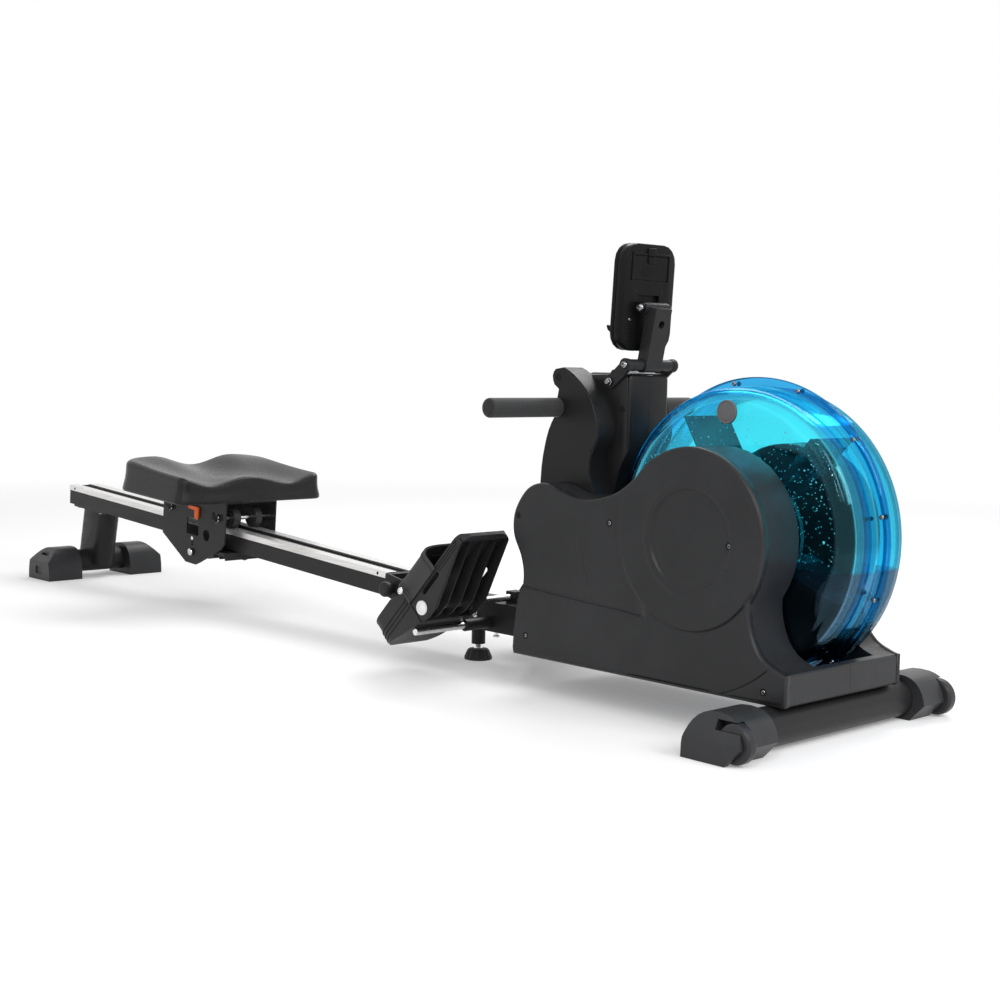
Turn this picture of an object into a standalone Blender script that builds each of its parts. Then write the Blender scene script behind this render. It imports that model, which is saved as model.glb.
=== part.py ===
"""Water rowing machine, in metres, +Z up. The user sits facing +X, and +Y is the user's left.

The origin is on the floor under the middle of the machine's length. Most places are given from the
front foot: x is measured forwards from the axis of the front foot tube, y from the middle plane and z
from the floor. The rail, the pedals and the monitor are built in their own tilted frames.
"""
import math

import bmesh
import bpy
import numpy as np

# Clearance between pieces that touch, and between a pin and its hole
GAP = 0.0003

# Front foot
FOOT_TUBE_RADIUS = 0.028
FOOT_TUBE_Z = 0.031
FOOT_TUBE_WALL = 0.0025
FOOT_TUBE_SHORT = 0.017
FRONT_FOOT_WIDTH = 0.510
FRONT_CAP_LENGTH = 0.082
FRONT_CAP_HEIGHT = 0.066
CAP_DEPTH = 0.099
FRONT_CAP_CREASE_Z = 0.027
FRONT_CAP_LEAN = 0.017
WHEEL_RADIUS = 0.027
WHEEL_WIDTH = 0.018
WHEEL_X = 0.030
WHEEL_INSET = 0.018
WHEEL_FLOOR_GAP = 0.002
WHEEL_PIN_RADIUS = 0.004
WHEEL_PIN_LENGTH = 0.005
WHEEL_SLOT_GAP = 0.0015

# Beam and frame inside the casing
BEAM_REAR_X = -0.919
BEAM_HALF_WIDTH = 0.0345
BEAM_BOTTOM_Z = 0.060
BEAM_HEIGHT = 0.050
BEAM_WALL = 0.003
CROSS_BAR_REAR_X = -0.484
CROSS_BAR_FRONT_X = -0.394
CROSS_BAR_HALF_WIDTH = 0.125
CROSS_BAR_WALL = 0.004
SIDE_BAR_WIDTH = 0.025
SIDE_BAR_HEIGHT = 0.040
SIDE_BAR_WALL = 0.003
SIDE_BAR_FRONT_X = 0.018
POST_DEPTH = 0.040
POST_HALF_WIDTH = 0.023
POST_WALL = 0.003
POST_TO_PULLEY = 0.0257
GUIDE_PULLEY_RADIUS = 0.015
GUIDE_PULLEY_WIDTH = 0.036
GUIDE_PULLEY_PIN = 0.004
POST_EAR_ABOVE_PIN = 0.011

# Levelling foot under the beam
LEVELLER_X = -0.725
LEVELLER_SLEEVE_RADIUS = 0.012
LEVELLER_SLEEVE_BOTTOM_Z = 0.027
LEVELLER_ROD_RADIUS = 0.006
LEVELLER_FOOT_RADIUS = 0.024
LEVELLER_FOOT_HEIGHT = 0.018
LEVELLER_TRAVEL = 0.008

# Casing, seen from the side
CASING_HALF_WIDTH = 0.134
CASING_WALL = 0.003
CASING_EDGE = 0.004
DRUM_X = -0.144
DRUM_Z = 0.270
DRUM_RADIUS = 0.130
DRUM_REAR_ANGLE = 141.5
DRUM_FRONT_ANGLE = -35.5
# From the drum back over the valley and the shoulder, and down the rear edge
CASING_REAR_CURVE = ((-0.288, 0.324), (-0.345, 0.311), (-0.392, 0.318), (-0.430, 0.330), (-0.467, 0.320),
                     (-0.494, 0.285), (-0.497, 0.248), (-0.480, 0.212), (-0.476, 0.180), (-0.488, 0.135))
CASING_REAR_BOTTOM = (-0.495, 0.069)
# From the front bottom corner up the base and along the hollow front edge to the drum
CASING_FRONT_X = 0.029
CASING_BOTTOM_Z = 0.0595
BASE_HEIGHT = 0.0445
CASING_FRONT_CURVE = ((0.013, 0.108), (-0.010, 0.119), (-0.026, 0.138), (-0.036, 0.165))
DISH_RADIUS = 0.080
DISH_FLOOR_RADIUS = 0.066
DISH_DEPTH = 0.005

# Tank
TANK_MID_Y = 0.012
TANK_HALF_DEPTH = 0.070
TANK_WALL = 0.004
TANK_FLANGE_RADIUS = 0.228
TANK_FLANGE_WIDTH = 0.015
TANK_RADIUS = TANK_FLANGE_RADIUS - TANK_FLANGE_WIDTH
TANK_FLANGE_THICKNESS = 0.005
TANK_SHOULDER = 0.024
TANK_ROOM = 0.003
PLUG_FROM_EDGE = 0.035
PLUG_ORBIT = TANK_RADIUS - PLUG_FROM_EDGE
PLUG_STEM_RADIUS = 0.010
PLUG_HEAD_RADIUS = 0.017
PLUG_HEAD_THICKNESS = 0.005
SHAFT_RADIUS = 0.010
SHAFT_RIGHT_Y = -0.122
BEARING_RADIUS = 0.018
BEARING_WIDTH = 0.012
BOSS_RADIUS = 0.018
BOSS_LENGTH = 0.010
IMPELLER_TIP_GAP = 0.015
IMPELLER_RADIUS = TANK_RADIUS - TANK_WALL - IMPELLER_TIP_GAP
IMPELLER_DISC_RADIUS = 0.085
IMPELLER_DISC_THICKNESS = 0.008
IMPELLER_HUB_RADIUS = 0.022
IMPELLER_HUB_HALF = 0.045
BLADE_COUNT = 5
BLADE_HALF_WIDTH = 0.050
BLADE_THICKNESS = 0.004
BLADE_FIRST_ANGLE = 48.0
SPOOL_CENTRE_Y = -0.096
SPOOL_HALF_WIDTH = 0.020
SPOOL_FLANGE_RADIUS = 0.055
SPOOL_CORE_RADIUS = 0.042
SPOOL_FLANGE = 0.003

# Column with the handle hooks
COLUMN_FRONT_X = -0.345
COLUMN_REAR_X = -0.439
COLUMN_HALF_WIDTH = 0.048
COLUMN_TOP_Z = 0.500
COLUMN_FOOT_Z = 0.300
COLUMN_EDGE = 0.010
CHEEK_OUTER_Y = 0.085
CHEEK_FRONT = ((-0.455, 0.508), (-0.437, 0.503), (-0.411, 0.486), (-0.387, 0.461), (-0.374, 0.432),
               (-0.370, 0.412), (-0.373, 0.394), (-0.383, 0.376), (-0.387, 0.345))
CHEEK_FOOT_FRONT = (-0.370, 0.300)
CHEEK_FOOT_REAR = (-0.495, 0.300)
CHEEK_REAR = ((-0.492, 0.350), (-0.486, 0.382), (-0.478, 0.408))
CHEEK_LIP_X = -0.466
HOOK_TIP = ((-0.457, 0.473), (-0.467, 0.480), (-0.471, 0.494), (-0.465, 0.504))

# Handle, parked in the hooks
HANDLE_X = -0.460
HANDLE_Z = 0.4445
GRIP_RADIUS = 0.015
GRIP_OUTER_Y = 0.231
GRIP_INNER_Y = 0.044
BAR_RADIUS = 0.0120
BAR_WALL = 0.0025
CLAMP_HALF_WIDTH = 0.021
CLAMP_REAR = 0.019
CLAMP_FRONT = 0.0185
CLAMP_HALF_HEIGHT = 0.018
STRAP_WIDTH = 0.034
STRAP_THICKNESS = 0.002

# Monitor and its arm
BRACKET_X = -0.347
BRACKET_Z = 0.512
BRACKET_TUBE_RADIUS = 0.009
BRACKET_HALF_LENGTH = 0.056
BRACKET_PLATE = 0.004
BRACKET_BOLT_X = -0.379
BRACKET_BOLT_Z = 0.486
ARM_LEAN = 12.0
ARM_LENGTH = 0.0865
ARM_HALF_WIDTH = 0.018
ARM_HALF_DEPTH = 0.010
ARM_SLEEVE_RADIUS = 0.0115
ARM_HEAD_RADIUS = 0.009
ARM_HEAD_SET_BACK = 0.012
ARM_HEAD_HALF_LENGTH = 0.026
ARM_HOLE_HEIGHT = 0.065
ARM_HOLE_RADIUS = 0.006
CONSOLE_LEAN = 3.5
CONSOLE_PIN_RADIUS = 0.004
CONSOLE_EAR = 0.004
CONSOLE_BACK_X = -0.012
CONSOLE_BACK_DEPTH = 0.016
CONSOLE_FRONT_DEPTH = 0.008
CONSOLE_HALF_WIDTH = 0.057
CONSOLE_BELOW_PIN = 0.0665
CONSOLE_ABOVE_PIN = 0.0967
CONSOLE_CORNER = 0.028
CONSOLE_SHELL = 0.003
CONSOLE_ROUNDING = 0.008
ARM_RECESS_DEPTH = 0.006
ARM_RECESS_HALF_WIDTH = 0.024
COVER_HALF_WIDTH = 0.038
COVER_LOW = 0.042
COVER_HIGH = 0.078
COVER_DEPTH = 0.002
COVER_PROUD = 0.001
BUTTON_RADIUS = 0.0065
BUTTON_PROUD = 0.0025
BUTTON_SPACING = 0.026
BUTTON_BELOW_PIN = 0.030

# Pedals, in a frame whose x runs from the heel to the toe and whose z points at the foot
PEDAL_AXLE_X = -0.635
PEDAL_AXLE_Z = 0.119
PEDAL_TILT = 46.0
PEDAL_CENTRE_Y = 0.151
PEDAL_HALF_WIDTH = 0.054
PEDAL_WALL = 0.004
PEDAL_BED = 0.030
PEDAL_BED_THICKNESS = 0.006
PEDAL_TOE = 0.152
PEDAL_TOE_THICKNESS = 0.013
PEDAL_REAR = -0.019
PEDAL_KEEL = -0.020
PEDAL_KEEL_END = 0.030
HEEL_REAR = -0.126
HEEL_REAR_LOW = 0.018
HEEL_WALL_TOP = 0.060
HEEL_WALL_FRONT = 0.045
HEEL_CORNER = 0.030
PEDAL_ROD_RADIUS = 0.006
PEDAL_BOSS_RADIUS = 0.013
PEDAL_BOSS_LENGTH = 0.014
PEDAL_RIB = 0.0025
TOE_CORNER = 0.022
STOP_SLEEVE_RADIUS = 0.010
STOP_SLEEVE_END_Y = 0.092
PEDAL_ROD_SHORT = 0.006
STOP_ROD_ALONG = -0.048
AXLE_BLOCK_HALF = 0.011
AXLE_BLOCK_TOP = 0.010
SIDE_SLOT_START = 0.017
SIDE_SLOT_END = 0.070
SIDE_SLOT_HEIGHT = 0.015
SIDE_SLOT_HALF = 0.004
FOOT_STRAP_START = -0.018
FOOT_STRAP_END = 0.070
FOOT_STRAP_RISE = 0.038
FOOT_STRAP_LAP = 0.007
FOOT_STRAP_BULGE = 0.013
FOOT_STRAP_THICKNESS = 0.0025

# Rail, in a frame whose x runs forwards along it from the front end of its strips, and z up from them
RAIL_FRONT_X = -0.934
RAIL_FRONT_Z = 0.131
RAIL_TILT = 3.8
RAIL_LENGTH = 1.188
RAIL_HALF_WIDTH = 0.035
RAIL_HEIGHT = 0.044
RAIL_WALL = 0.003
RAIL_END_WALL = 0.004
RAIL_ROOF = 0.007
GROOVE_HALF_WIDTH = 0.010
GROOVE_DEPTH = 0.003
STRIP_THICKNESS = 0.0015
STRIP_INNER_Y = 0.014
STRIP_LIP = 0.012
PIVOT_X = -0.864
PIVOT_Z = 0.095
PIVOT_RADIUS = 0.006
PIVOT_HEAD_RADIUS = 0.010
PIVOT_HEAD = 0.005
FORK_PLATE = 0.0045
FORK_PLATE_GAP = 0.0008
FORK_BLOCK = 0.012
FORK_TONGUE = 0.060
FORK_NOSE_RADIUS = 0.022
KNOB_X = -0.913
KNOB_Z = 0.104
KNOB_RADIUS = 0.014
KNOB_LENGTH = 0.018
KNOB_COLLAR_RADIUS = 0.009
KNOB_COLLAR = 0.006
KNOB_PIN_RADIUS = 0.004

# Rear foot
REAR_FOOT_X = -2.061
REAR_TUBE_RADIUS = 0.026
REAR_TUBE_Z = 0.037
REAR_FOOT_WIDTH = 0.290
REAR_CAP_LENGTH = 0.083
REAR_CAP_HEIGHT = 0.072
REAR_CAP_BEVEL = 0.030
REAR_TUBE_SHORT = 0.014
LEG_DEPTH = 0.108
LEG_WIDTH = 0.050
LEG_TOP_X = -2.034
LEG_WALL = 0.003
LEG_PLATE = 0.004

# Seat carriage, in the rail's frame
CARRIAGE_CENTRE = -0.6085
CARRIAGE_HALF_LENGTH = 0.1185
CARRIAGE_INNER_Y = 0.059
CARRIAGE_PLATE = 0.003
CARRIAGE_TOP = 0.057
CARRIAGE_SIDE_LOW = -0.039
CARRIAGE_TIP_LOW = -0.087
CARRIAGE_TIP_HALF = 0.024
CARRIAGE_CORNER_DROP = 0.012
AXLE_SPREAD = 0.0895
ROLLER_RADIUS = 0.021
ROLLER_WIDTH = 0.016
ROLLER_Y = 0.026
AXLE_RADIUS = 0.005
AXLE_HEAD_RADIUS = 0.009
AXLE_HEAD = 0.003
GUIDE_ROLLER_RADIUS = 0.018
GUIDE_ROLLER_HALF = 0.024
WINDOW_X = -0.610
WINDOW_HALF = 0.022
WINDOW_LOW = -0.026
WINDOW_HIGH = 0.008
PORT_X = -0.558
PORT_Z = -0.020
PORT_RADIUS = 0.012
BLOCK_FRONT = -0.494
BLOCK_LENGTH = 0.085
BLOCK_TOP_GAP = 0.003
BLOCK_HEIGHT = 0.008
FIN_COUNT = 5
FIN_DROP = 0.008
FIN_THICKNESS = 0.004
LEVER_PIVOT_X = -0.593
LEVER_PIVOT_Z = 0.028
LEVER_ARM = 0.031
LEVER_LEG = 0.012
LEVER_HALF = 0.007
LEVER_THICKNESS = 0.004
LEVER_PIN_RADIUS = 0.003

# Seat pad, in the rail's frame
PAD_FRONT = -0.480
PAD_REAR = -0.737
PAD_HALF_WIDTH = 0.175
PAD_FRONT_CORNER = 0.024
PAD_REAR_CORNER = 0.045
PAD_DRAW_IN = 0.006
PAD_ROUNDING = 0.010
PAD_GROOVE_Y = 0.095
PAD_FRONT_MIDDLE = 0.111
PAD_FRONT_GROOVE = 0.095
PAD_FRONT_EDGE = 0.113
PAD_REAR_MIDDLE = 0.106
PAD_REAR_HUMP = 0.126
PAD_REAR_EDGE = 0.121
PAD_HOLLOW = 0.010

# Colours of the finishes
BLACK_PLASTIC = (0.030, 0.031, 0.033)
BLACK_STEEL = (0.022, 0.022, 0.024)
BLACK_RUBBER = (0.018, 0.018, 0.019)
PAD_GREY = (0.045, 0.045, 0.048)
SILVER = (0.62, 0.62, 0.64)
CHROME = (0.75, 0.75, 0.76)
TANK_BLUE = (0.02, 0.55, 0.85)
PADDLE_GREY = (0.06, 0.09, 0.12)
WHEEL_GREY = (0.30, 0.30, 0.31)
ORANGE = (0.80, 0.16, 0.02)


def clear_scene():
    for obj in list(bpy.data.objects):
        bpy.data.objects.remove(obj, do_unlink=True)


def new_collection(name):
    collection = bpy.data.collections.new(name)
    bpy.context.scene.collection.children.link(collection)
    return collection


clear_scene()
PARTS = new_collection("water_rower")
CUTTERS = new_collection("cutters")


def empty(name, location, turn_deg=0.0, parent=None):
    """A frame at a place, turned about Y."""
    obj = bpy.data.objects.new(name, None)
    PARTS.objects.link(obj)
    obj.location = location
    obj.rotation_euler = (0, math.radians(turn_deg), 0)
    obj.parent = parent
    return obj


FRONT_REACH = DRUM_X + TANK_FLANGE_RADIUS
REAR_REACH = (-RAIL_FRONT_X + RAIL_LENGTH * math.cos(math.radians(RAIL_TILT))
              + RAIL_HEIGHT * math.sin(math.radians(RAIL_TILT)))
MACHINE = empty("machine_frame", ((REAR_REACH - FRONT_REACH) / 2, 0, 0))
RAIL = empty("rail_frame", (RAIL_FRONT_X, 0, RAIL_FRONT_Z), RAIL_TILT, MACHINE)
ARM = empty("arm_frame", (BRACKET_X, 0, BRACKET_Z), ARM_LEAN, MACHINE)
LEAN = math.radians(ARM_LEAN)
ARM_TOP_X = BRACKET_X + ARM_LENGTH * math.sin(LEAN) - ARM_HEAD_SET_BACK * math.cos(LEAN)
ARM_TOP_Z = BRACKET_Z + ARM_LENGTH * math.cos(LEAN) + ARM_HEAD_SET_BACK * math.sin(LEAN)
CONSOLE = empty("console_frame", (ARM_TOP_X, 0, ARM_TOP_Z), CONSOLE_LEAN, MACHINE)
PEDALS = empty("pedal_frame", (PEDAL_AXLE_X, 0, PEDAL_AXLE_Z), -PEDAL_TILT, MACHINE)


def finish(obj, colour, roughness, metallic=0.0, alpha=1.0):
    """Gives a piece its own Principled material."""
    material = bpy.data.materials.new(obj.name + "_finish")
    material.use_nodes = True
    shader = material.node_tree.nodes["Principled BSDF"]
    shader.inputs["Base Color"].default_value = (*colour, 1)
    shader.inputs["Roughness"].default_value = roughness
    shader.inputs["Metallic"].default_value = metallic
    shader.inputs["Alpha"].default_value = alpha
    obj.data.materials.clear()
    obj.data.materials.append(material)
    return obj


def plastic(obj):
    return finish(obj, BLACK_PLASTIC, 0.45)


def painted(obj):
    return finish(obj, BLACK_STEEL, 0.4, 0.1)


def rubber(obj):
    return finish(obj, BLACK_RUBBER, 0.8)


def chromed(obj):
    return finish(obj, CHROME, 0.15, 1.0)


def object_from(mesh, name, parent):
    obj = bpy.data.objects.new(name, mesh)
    PARTS.objects.link(obj)
    obj.parent = parent
    return obj


def object_from_bmesh(shape, name, parent, smooth=False):
    bmesh.ops.recalc_face_normals(shape, faces=shape.faces)
    mesh = bpy.data.meshes.new(name)
    shape.to_mesh(mesh)
    shape.free()
    if smooth:
        mesh.shade_smooth()
        mesh.set_sharp_from_angle(angle=math.radians(35))
    return object_from(mesh, name, parent)


def box(name, low, high, parent=MACHINE):
    """A block between two corners."""
    low, high = np.array(low), np.array(high)
    shape = bmesh.new()
    bmesh.ops.create_cube(shape, size=1.0)
    bmesh.ops.scale(shape, vec=tuple(high - low), verts=shape.verts)
    bmesh.ops.translate(shape, vec=tuple((high + low) / 2), verts=shape.verts)
    return object_from_bmesh(shape, name, parent)


def as_mesh(obj):
    """Replaces a curve or an object with modifiers by its evaluated mesh, with its doubles merged."""
    bpy.context.view_layer.update()
    graph = bpy.context.evaluated_depsgraph_get()
    mesh = bpy.data.meshes.new_from_object(obj.evaluated_get(graph))
    shape = bmesh.new()
    shape.from_mesh(mesh)
    bmesh.ops.remove_doubles(shape, verts=shape.verts, dist=1e-6)
    bmesh.ops.recalc_face_normals(shape, faces=shape.faces)
    shape.to_mesh(mesh)
    shape.free()
    name, parent = obj.name, obj.parent
    turn, place = obj.rotation_euler.copy(), obj.location.copy()
    bpy.data.objects.remove(obj, do_unlink=True)
    made = object_from(mesh, name, parent)
    made.rotation_euler = turn
    made.location = place
    return made


def slab(name, outline, y_low, y_high, parent=MACHINE):
    """A flat outline in the XZ plane, as a filled 2D curve with a thickness along Y."""
    curve = bpy.data.curves.new(name, "CURVE")
    curve.dimensions = "2D"
    curve.fill_mode = "BOTH"
    curve.extrude = (y_high - y_low) / 2
    spline = curve.splines.new("POLY")
    spline.points.add(len(outline) - 1)
    for point, (x, z) in zip(spline.points, outline):
        point.co = (x, z, 0, 1)
    spline.use_cyclic_u = True
    obj = object_from(curve, name, parent)
    obj.rotation_euler = (math.pi / 2, 0, 0)
    obj.location = (0, (y_low + y_high) / 2, 0)
    return as_mesh(obj)


def plan_slab(name, outline, z_low, z_high, parent=MACHINE):
    """A flat outline in the XY plane with a thickness along Z."""
    obj = slab(name, outline, z_low, z_high, parent)
    obj.rotation_euler = (0, 0, 0)
    obj.location = (0, 0, (z_low + z_high) / 2)
    return obj


def cross_slab(name, outline, x_low, x_high, parent=MACHINE):
    """A flat outline in the YZ plane with a thickness along X."""
    obj = slab(name, outline, x_low, x_high, parent)
    obj.rotation_euler = (math.pi / 2, 0, math.pi / 2)
    obj.location = ((x_low + x_high) / 2, 0, 0)
    return obj


def turned(name, profile, x, z, parent=MACHINE, sides=32, y=0.0, axis="Y"):
    """A profile of (radius, place along the axis) spun about an axis along Y or Z with a Screw modifier.

    A profile that starts and ends on the axis is closed there. Any other profile is a closed ring.
    """
    mesh = bpy.data.meshes.new(name)
    closed = profile[0][0] > 0 or profile[-1][0] > 0
    points = [(radius, along, 0) for radius, along in profile]
    edges = [(i, i + 1) for i in range(len(points) - 1)]
    if closed:
        edges.append((len(points) - 1, 0))
    mesh.from_pydata(points, edges, [])
    obj = object_from(mesh, name, parent)
    screw = obj.modifiers.new("spin", "SCREW")
    screw.axis = "Y"
    screw.steps = sides
    screw.render_steps = sides
    screw.use_merge_vertices = True
    screw.merge_threshold = 0.00001
    obj = as_mesh(obj)
    obj.location = (x, y, z)
    if axis == "Z":
        obj.rotation_euler = (math.pi / 2, 0, 0)
    obj.data.shade_smooth()
    obj.data.set_sharp_from_angle(angle=math.radians(35))
    return obj


def rod(name, x, z, y_low, y_high, radius, parent=MACHINE, sides=16, bore=0.0):
    """A round bar along Y, with a bore if one is given."""
    profile = [(bore, y_low), (radius, y_low), (radius, y_high), (bore, y_high)]
    return turned(name, profile, x, z, parent, sides)


def cylinder_z(name, x, y, z_low, z_high, radius, parent=MACHINE, sides=16):
    shape = bmesh.new()
    bmesh.ops.create_cone(shape, cap_ends=True, segments=sides, radius1=radius, radius2=radius,
                          depth=z_high - z_low)
    bmesh.ops.translate(shape, vec=(x, y, (z_low + z_high) / 2), verts=shape.verts)
    return object_from_bmesh(shape, name, parent, smooth=True)


def cylinder_x(name, y, z, x_low, x_high, radius, parent=MACHINE, sides=16):
    obj = cylinder_z(name, 0, 0, x_low, x_high, radius, parent, sides)
    obj.rotation_euler = (0, math.pi / 2, 0)
    obj.location = (0, y, z)
    return obj


def helper(obj):
    """Makes an object a cutter or a piece to be joined, which isn't part of the machine."""
    PARTS.objects.unlink(obj)
    CUTTERS.objects.link(obj)
    obj.hide_render = True
    obj.display_type = "WIRE"
    return obj


def boolean(obj, other, operation):
    if other.name not in CUTTERS.objects:
        helper(other)
    modifier = obj.modifiers.new(other.name, "BOOLEAN")
    modifier.operation = operation
    modifier.solver = "EXACT"
    modifier.object = other
    return obj


def cut(obj, *others):
    for other in others:
        boolean(obj, other, "DIFFERENCE")
    return obj


def join(obj, *others):
    for other in others:
        boolean(obj, other, "UNION")
    return obj


def keep_inside(obj, other):
    return boolean(obj, other, "INTERSECT")


def bevel(obj, width, segments=2, angle=40.0):
    modifier = obj.modifiers.new("rounding", "BEVEL")
    modifier.width = width
    modifier.segments = segments
    modifier.limit_method = "ANGLE"
    modifier.angle_limit = math.radians(angle)
    modifier.use_clamp_overlap = True
    return obj


def arc(x, z, radius, start_deg, end_deg, steps):
    """Points on an arc, both ends included."""
    angles = np.radians(np.linspace(start_deg, end_deg, steps + 1))
    return [(x + radius * math.cos(a), z + radius * math.sin(a)) for a in angles]


def smooth_through(points, per_span=4):
    """A Catmull-Rom curve through points, without its first and last one."""
    p = np.array(points)
    t = np.linspace(0, 1, per_span, endpoint=False)[:, None]
    spans = []
    for a, b, c, d in zip(p[:-3], p[1:-2], p[2:-1], p[3:]):
        spans.append(0.5 * (2 * b + (c - a) * t + (2 * a - 5 * b + 4 * c - d) * t**2
                            + (3 * b - a - 3 * c + d) * t**3))
    return [tuple(q) for q in np.concatenate(spans + [p[-2:-1]])]


def grown(outline, distance):
    """The outline moved outwards by a distance, or inwards by a negative one."""
    p = np.array(outline)
    ahead = np.roll(p, -1, axis=0) - p
    ahead /= np.linalg.norm(ahead, axis=1)[:, None]
    behind = np.roll(ahead, 1, axis=0)
    normal = np.stack([ahead[:, 1] + behind[:, 1], -ahead[:, 0] - behind[:, 0]], axis=1)
    area = (p[:, 0] * np.roll(p[:, 1], -1) - p[:, 1] * np.roll(p[:, 0], -1)).sum()
    scale = 2 * distance / (normal**2).sum(axis=1)[:, None] * (1 if area > 0 else -1)
    return [tuple(q) for q in p + normal * scale]


def rounded_rectangle(x_low, x_high, z_low, z_high, radius, steps=4):
    return (arc(x_high - radius, z_low + radius, radius, -90, 0, steps)
            + arc(x_high - radius, z_high - radius, radius, 0, 90, steps)
            + arc(x_low + radius, z_high - radius, radius, 90, 180, steps)
            + arc(x_low + radius, z_low + radius, radius, 180, 270, steps))


# Places that follow from the sizes
FOOT_TUBE_END_Y = FRONT_FOOT_WIDTH / 2 - WHEEL_INSET - FOOT_TUBE_SHORT
POST_REAR_X = COLUMN_REAR_X + CASING_WALL + GAP
GUIDE_PULLEY_X = POST_REAR_X + POST_TO_PULLEY
BEAM_TOP_Z = BEAM_BOTTOM_Z + BEAM_HEIGHT
SIDE_BAR_Z = FOOT_TUBE_Z + FOOT_TUBE_RADIUS + GAP
TANK_RIGHT_Y = TANK_MID_Y - TANK_HALF_DEPTH
TANK_LEFT_Y = TANK_MID_Y + TANK_HALF_DEPTH
ROOM_RADIUS = TANK_FLANGE_RADIUS + TANK_ROOM
STRAP_Z = HANDLE_Z
GUIDE_PULLEY_Z = STRAP_Z - STRAP_THICKNESS / 2 - GAP - GUIDE_PULLEY_RADIUS
POST_TOP_Z = GUIDE_PULLEY_Z + POST_EAR_ABOVE_PIN
CAP_INNER_Y = FRONT_FOOT_WIDTH / 2 - FRONT_CAP_LENGTH
WHEEL_Y = FRONT_FOOT_WIDTH / 2 - WHEEL_INSET
WHEEL_Z = WHEEL_RADIUS + WHEEL_FLOOR_GAP
ROLLER_Z = ROLLER_RADIUS + GAP
PAD_BOTTOM = CARRIAGE_TOP + GAP
GUIDE_ROLLER_Z = -RAIL_HEIGHT - GAP - GUIDE_ROLLER_RADIUS


def under_pedal(along):
    """The height of the pedal's underside behind its keel, in the pedal's frame."""
    share = (along - HEEL_REAR) / -HEEL_REAR
    return HEEL_REAR_LOW + share * (PEDAL_KEEL - HEEL_REAR_LOW)


def pedal_point(along, up):
    """A point of the pedal's frame in the machine's."""
    turn = math.radians(PEDAL_TILT)
    return (PEDAL_AXLE_X + along * math.cos(turn) - up * math.sin(turn),
            PEDAL_AXLE_Z + along * math.sin(turn) + up * math.cos(turn))


UNDERSIDE_SLOPE = math.atan2(PEDAL_KEEL - HEEL_REAR_LOW, -HEEL_REAR)
STOP_ROD_UP = under_pedal(STOP_ROD_ALONG) - (PEDAL_ROD_RADIUS + GAP) / math.cos(UNDERSIDE_SLOPE)
STOP_ROD_X, STOP_ROD_Z = pedal_point(STOP_ROD_ALONG, STOP_ROD_UP)


def casing_outline():
    """The casing's side outline, anticlockwise from the drum's rear join."""
    rear_join = arc(DRUM_X, DRUM_Z, DRUM_RADIUS, DRUM_REAR_ANGLE, DRUM_REAR_ANGLE, 1)[0]
    lead_in = arc(DRUM_X, DRUM_Z, DRUM_RADIUS, DRUM_REAR_ANGLE - 20, DRUM_REAR_ANGLE - 20, 1)[0]
    rear = smooth_through([lead_in, rear_join, *CASING_REAR_CURVE, CASING_REAR_BOTTOM,
                           (CASING_REAR_BOTTOM[0], 0)], 2)
    base_top = CASING_BOTTOM_Z + BASE_HEIGHT
    base = [(CASING_FRONT_X - CASING_EDGE, CASING_BOTTOM_Z), (CASING_FRONT_X, CASING_BOTTOM_Z + CASING_EDGE),
            (CASING_FRONT_X, base_top)]
    front_join = arc(DRUM_X, DRUM_Z, DRUM_RADIUS, DRUM_FRONT_ANGLE, DRUM_FRONT_ANGLE, 1)[0]
    lead_out = arc(DRUM_X, DRUM_Z, DRUM_RADIUS, DRUM_FRONT_ANGLE + 15, DRUM_FRONT_ANGLE + 15, 1)[0]
    front = smooth_through([(CASING_FRONT_X + 0.02, base_top), (CASING_FRONT_X, base_top),
                            *CASING_FRONT_CURVE, front_join, lead_out], 2)[1:]
    drum = arc(DRUM_X, DRUM_Z, DRUM_RADIUS, DRUM_FRONT_ANGLE, DRUM_REAR_ANGLE, 18)[1:-1]
    return rear + base + front + drum


OUTLINE = casing_outline()


def tank_room(name, extra):
    """The round space that the tank takes in the casing, grown by a wall."""
    return rod(name, DRUM_X, DRUM_Z, TANK_RIGHT_Y - GAP - extra, TANK_LEFT_Y + GAP + extra,
               ROOM_RADIUS + extra, sides=36)


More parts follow.
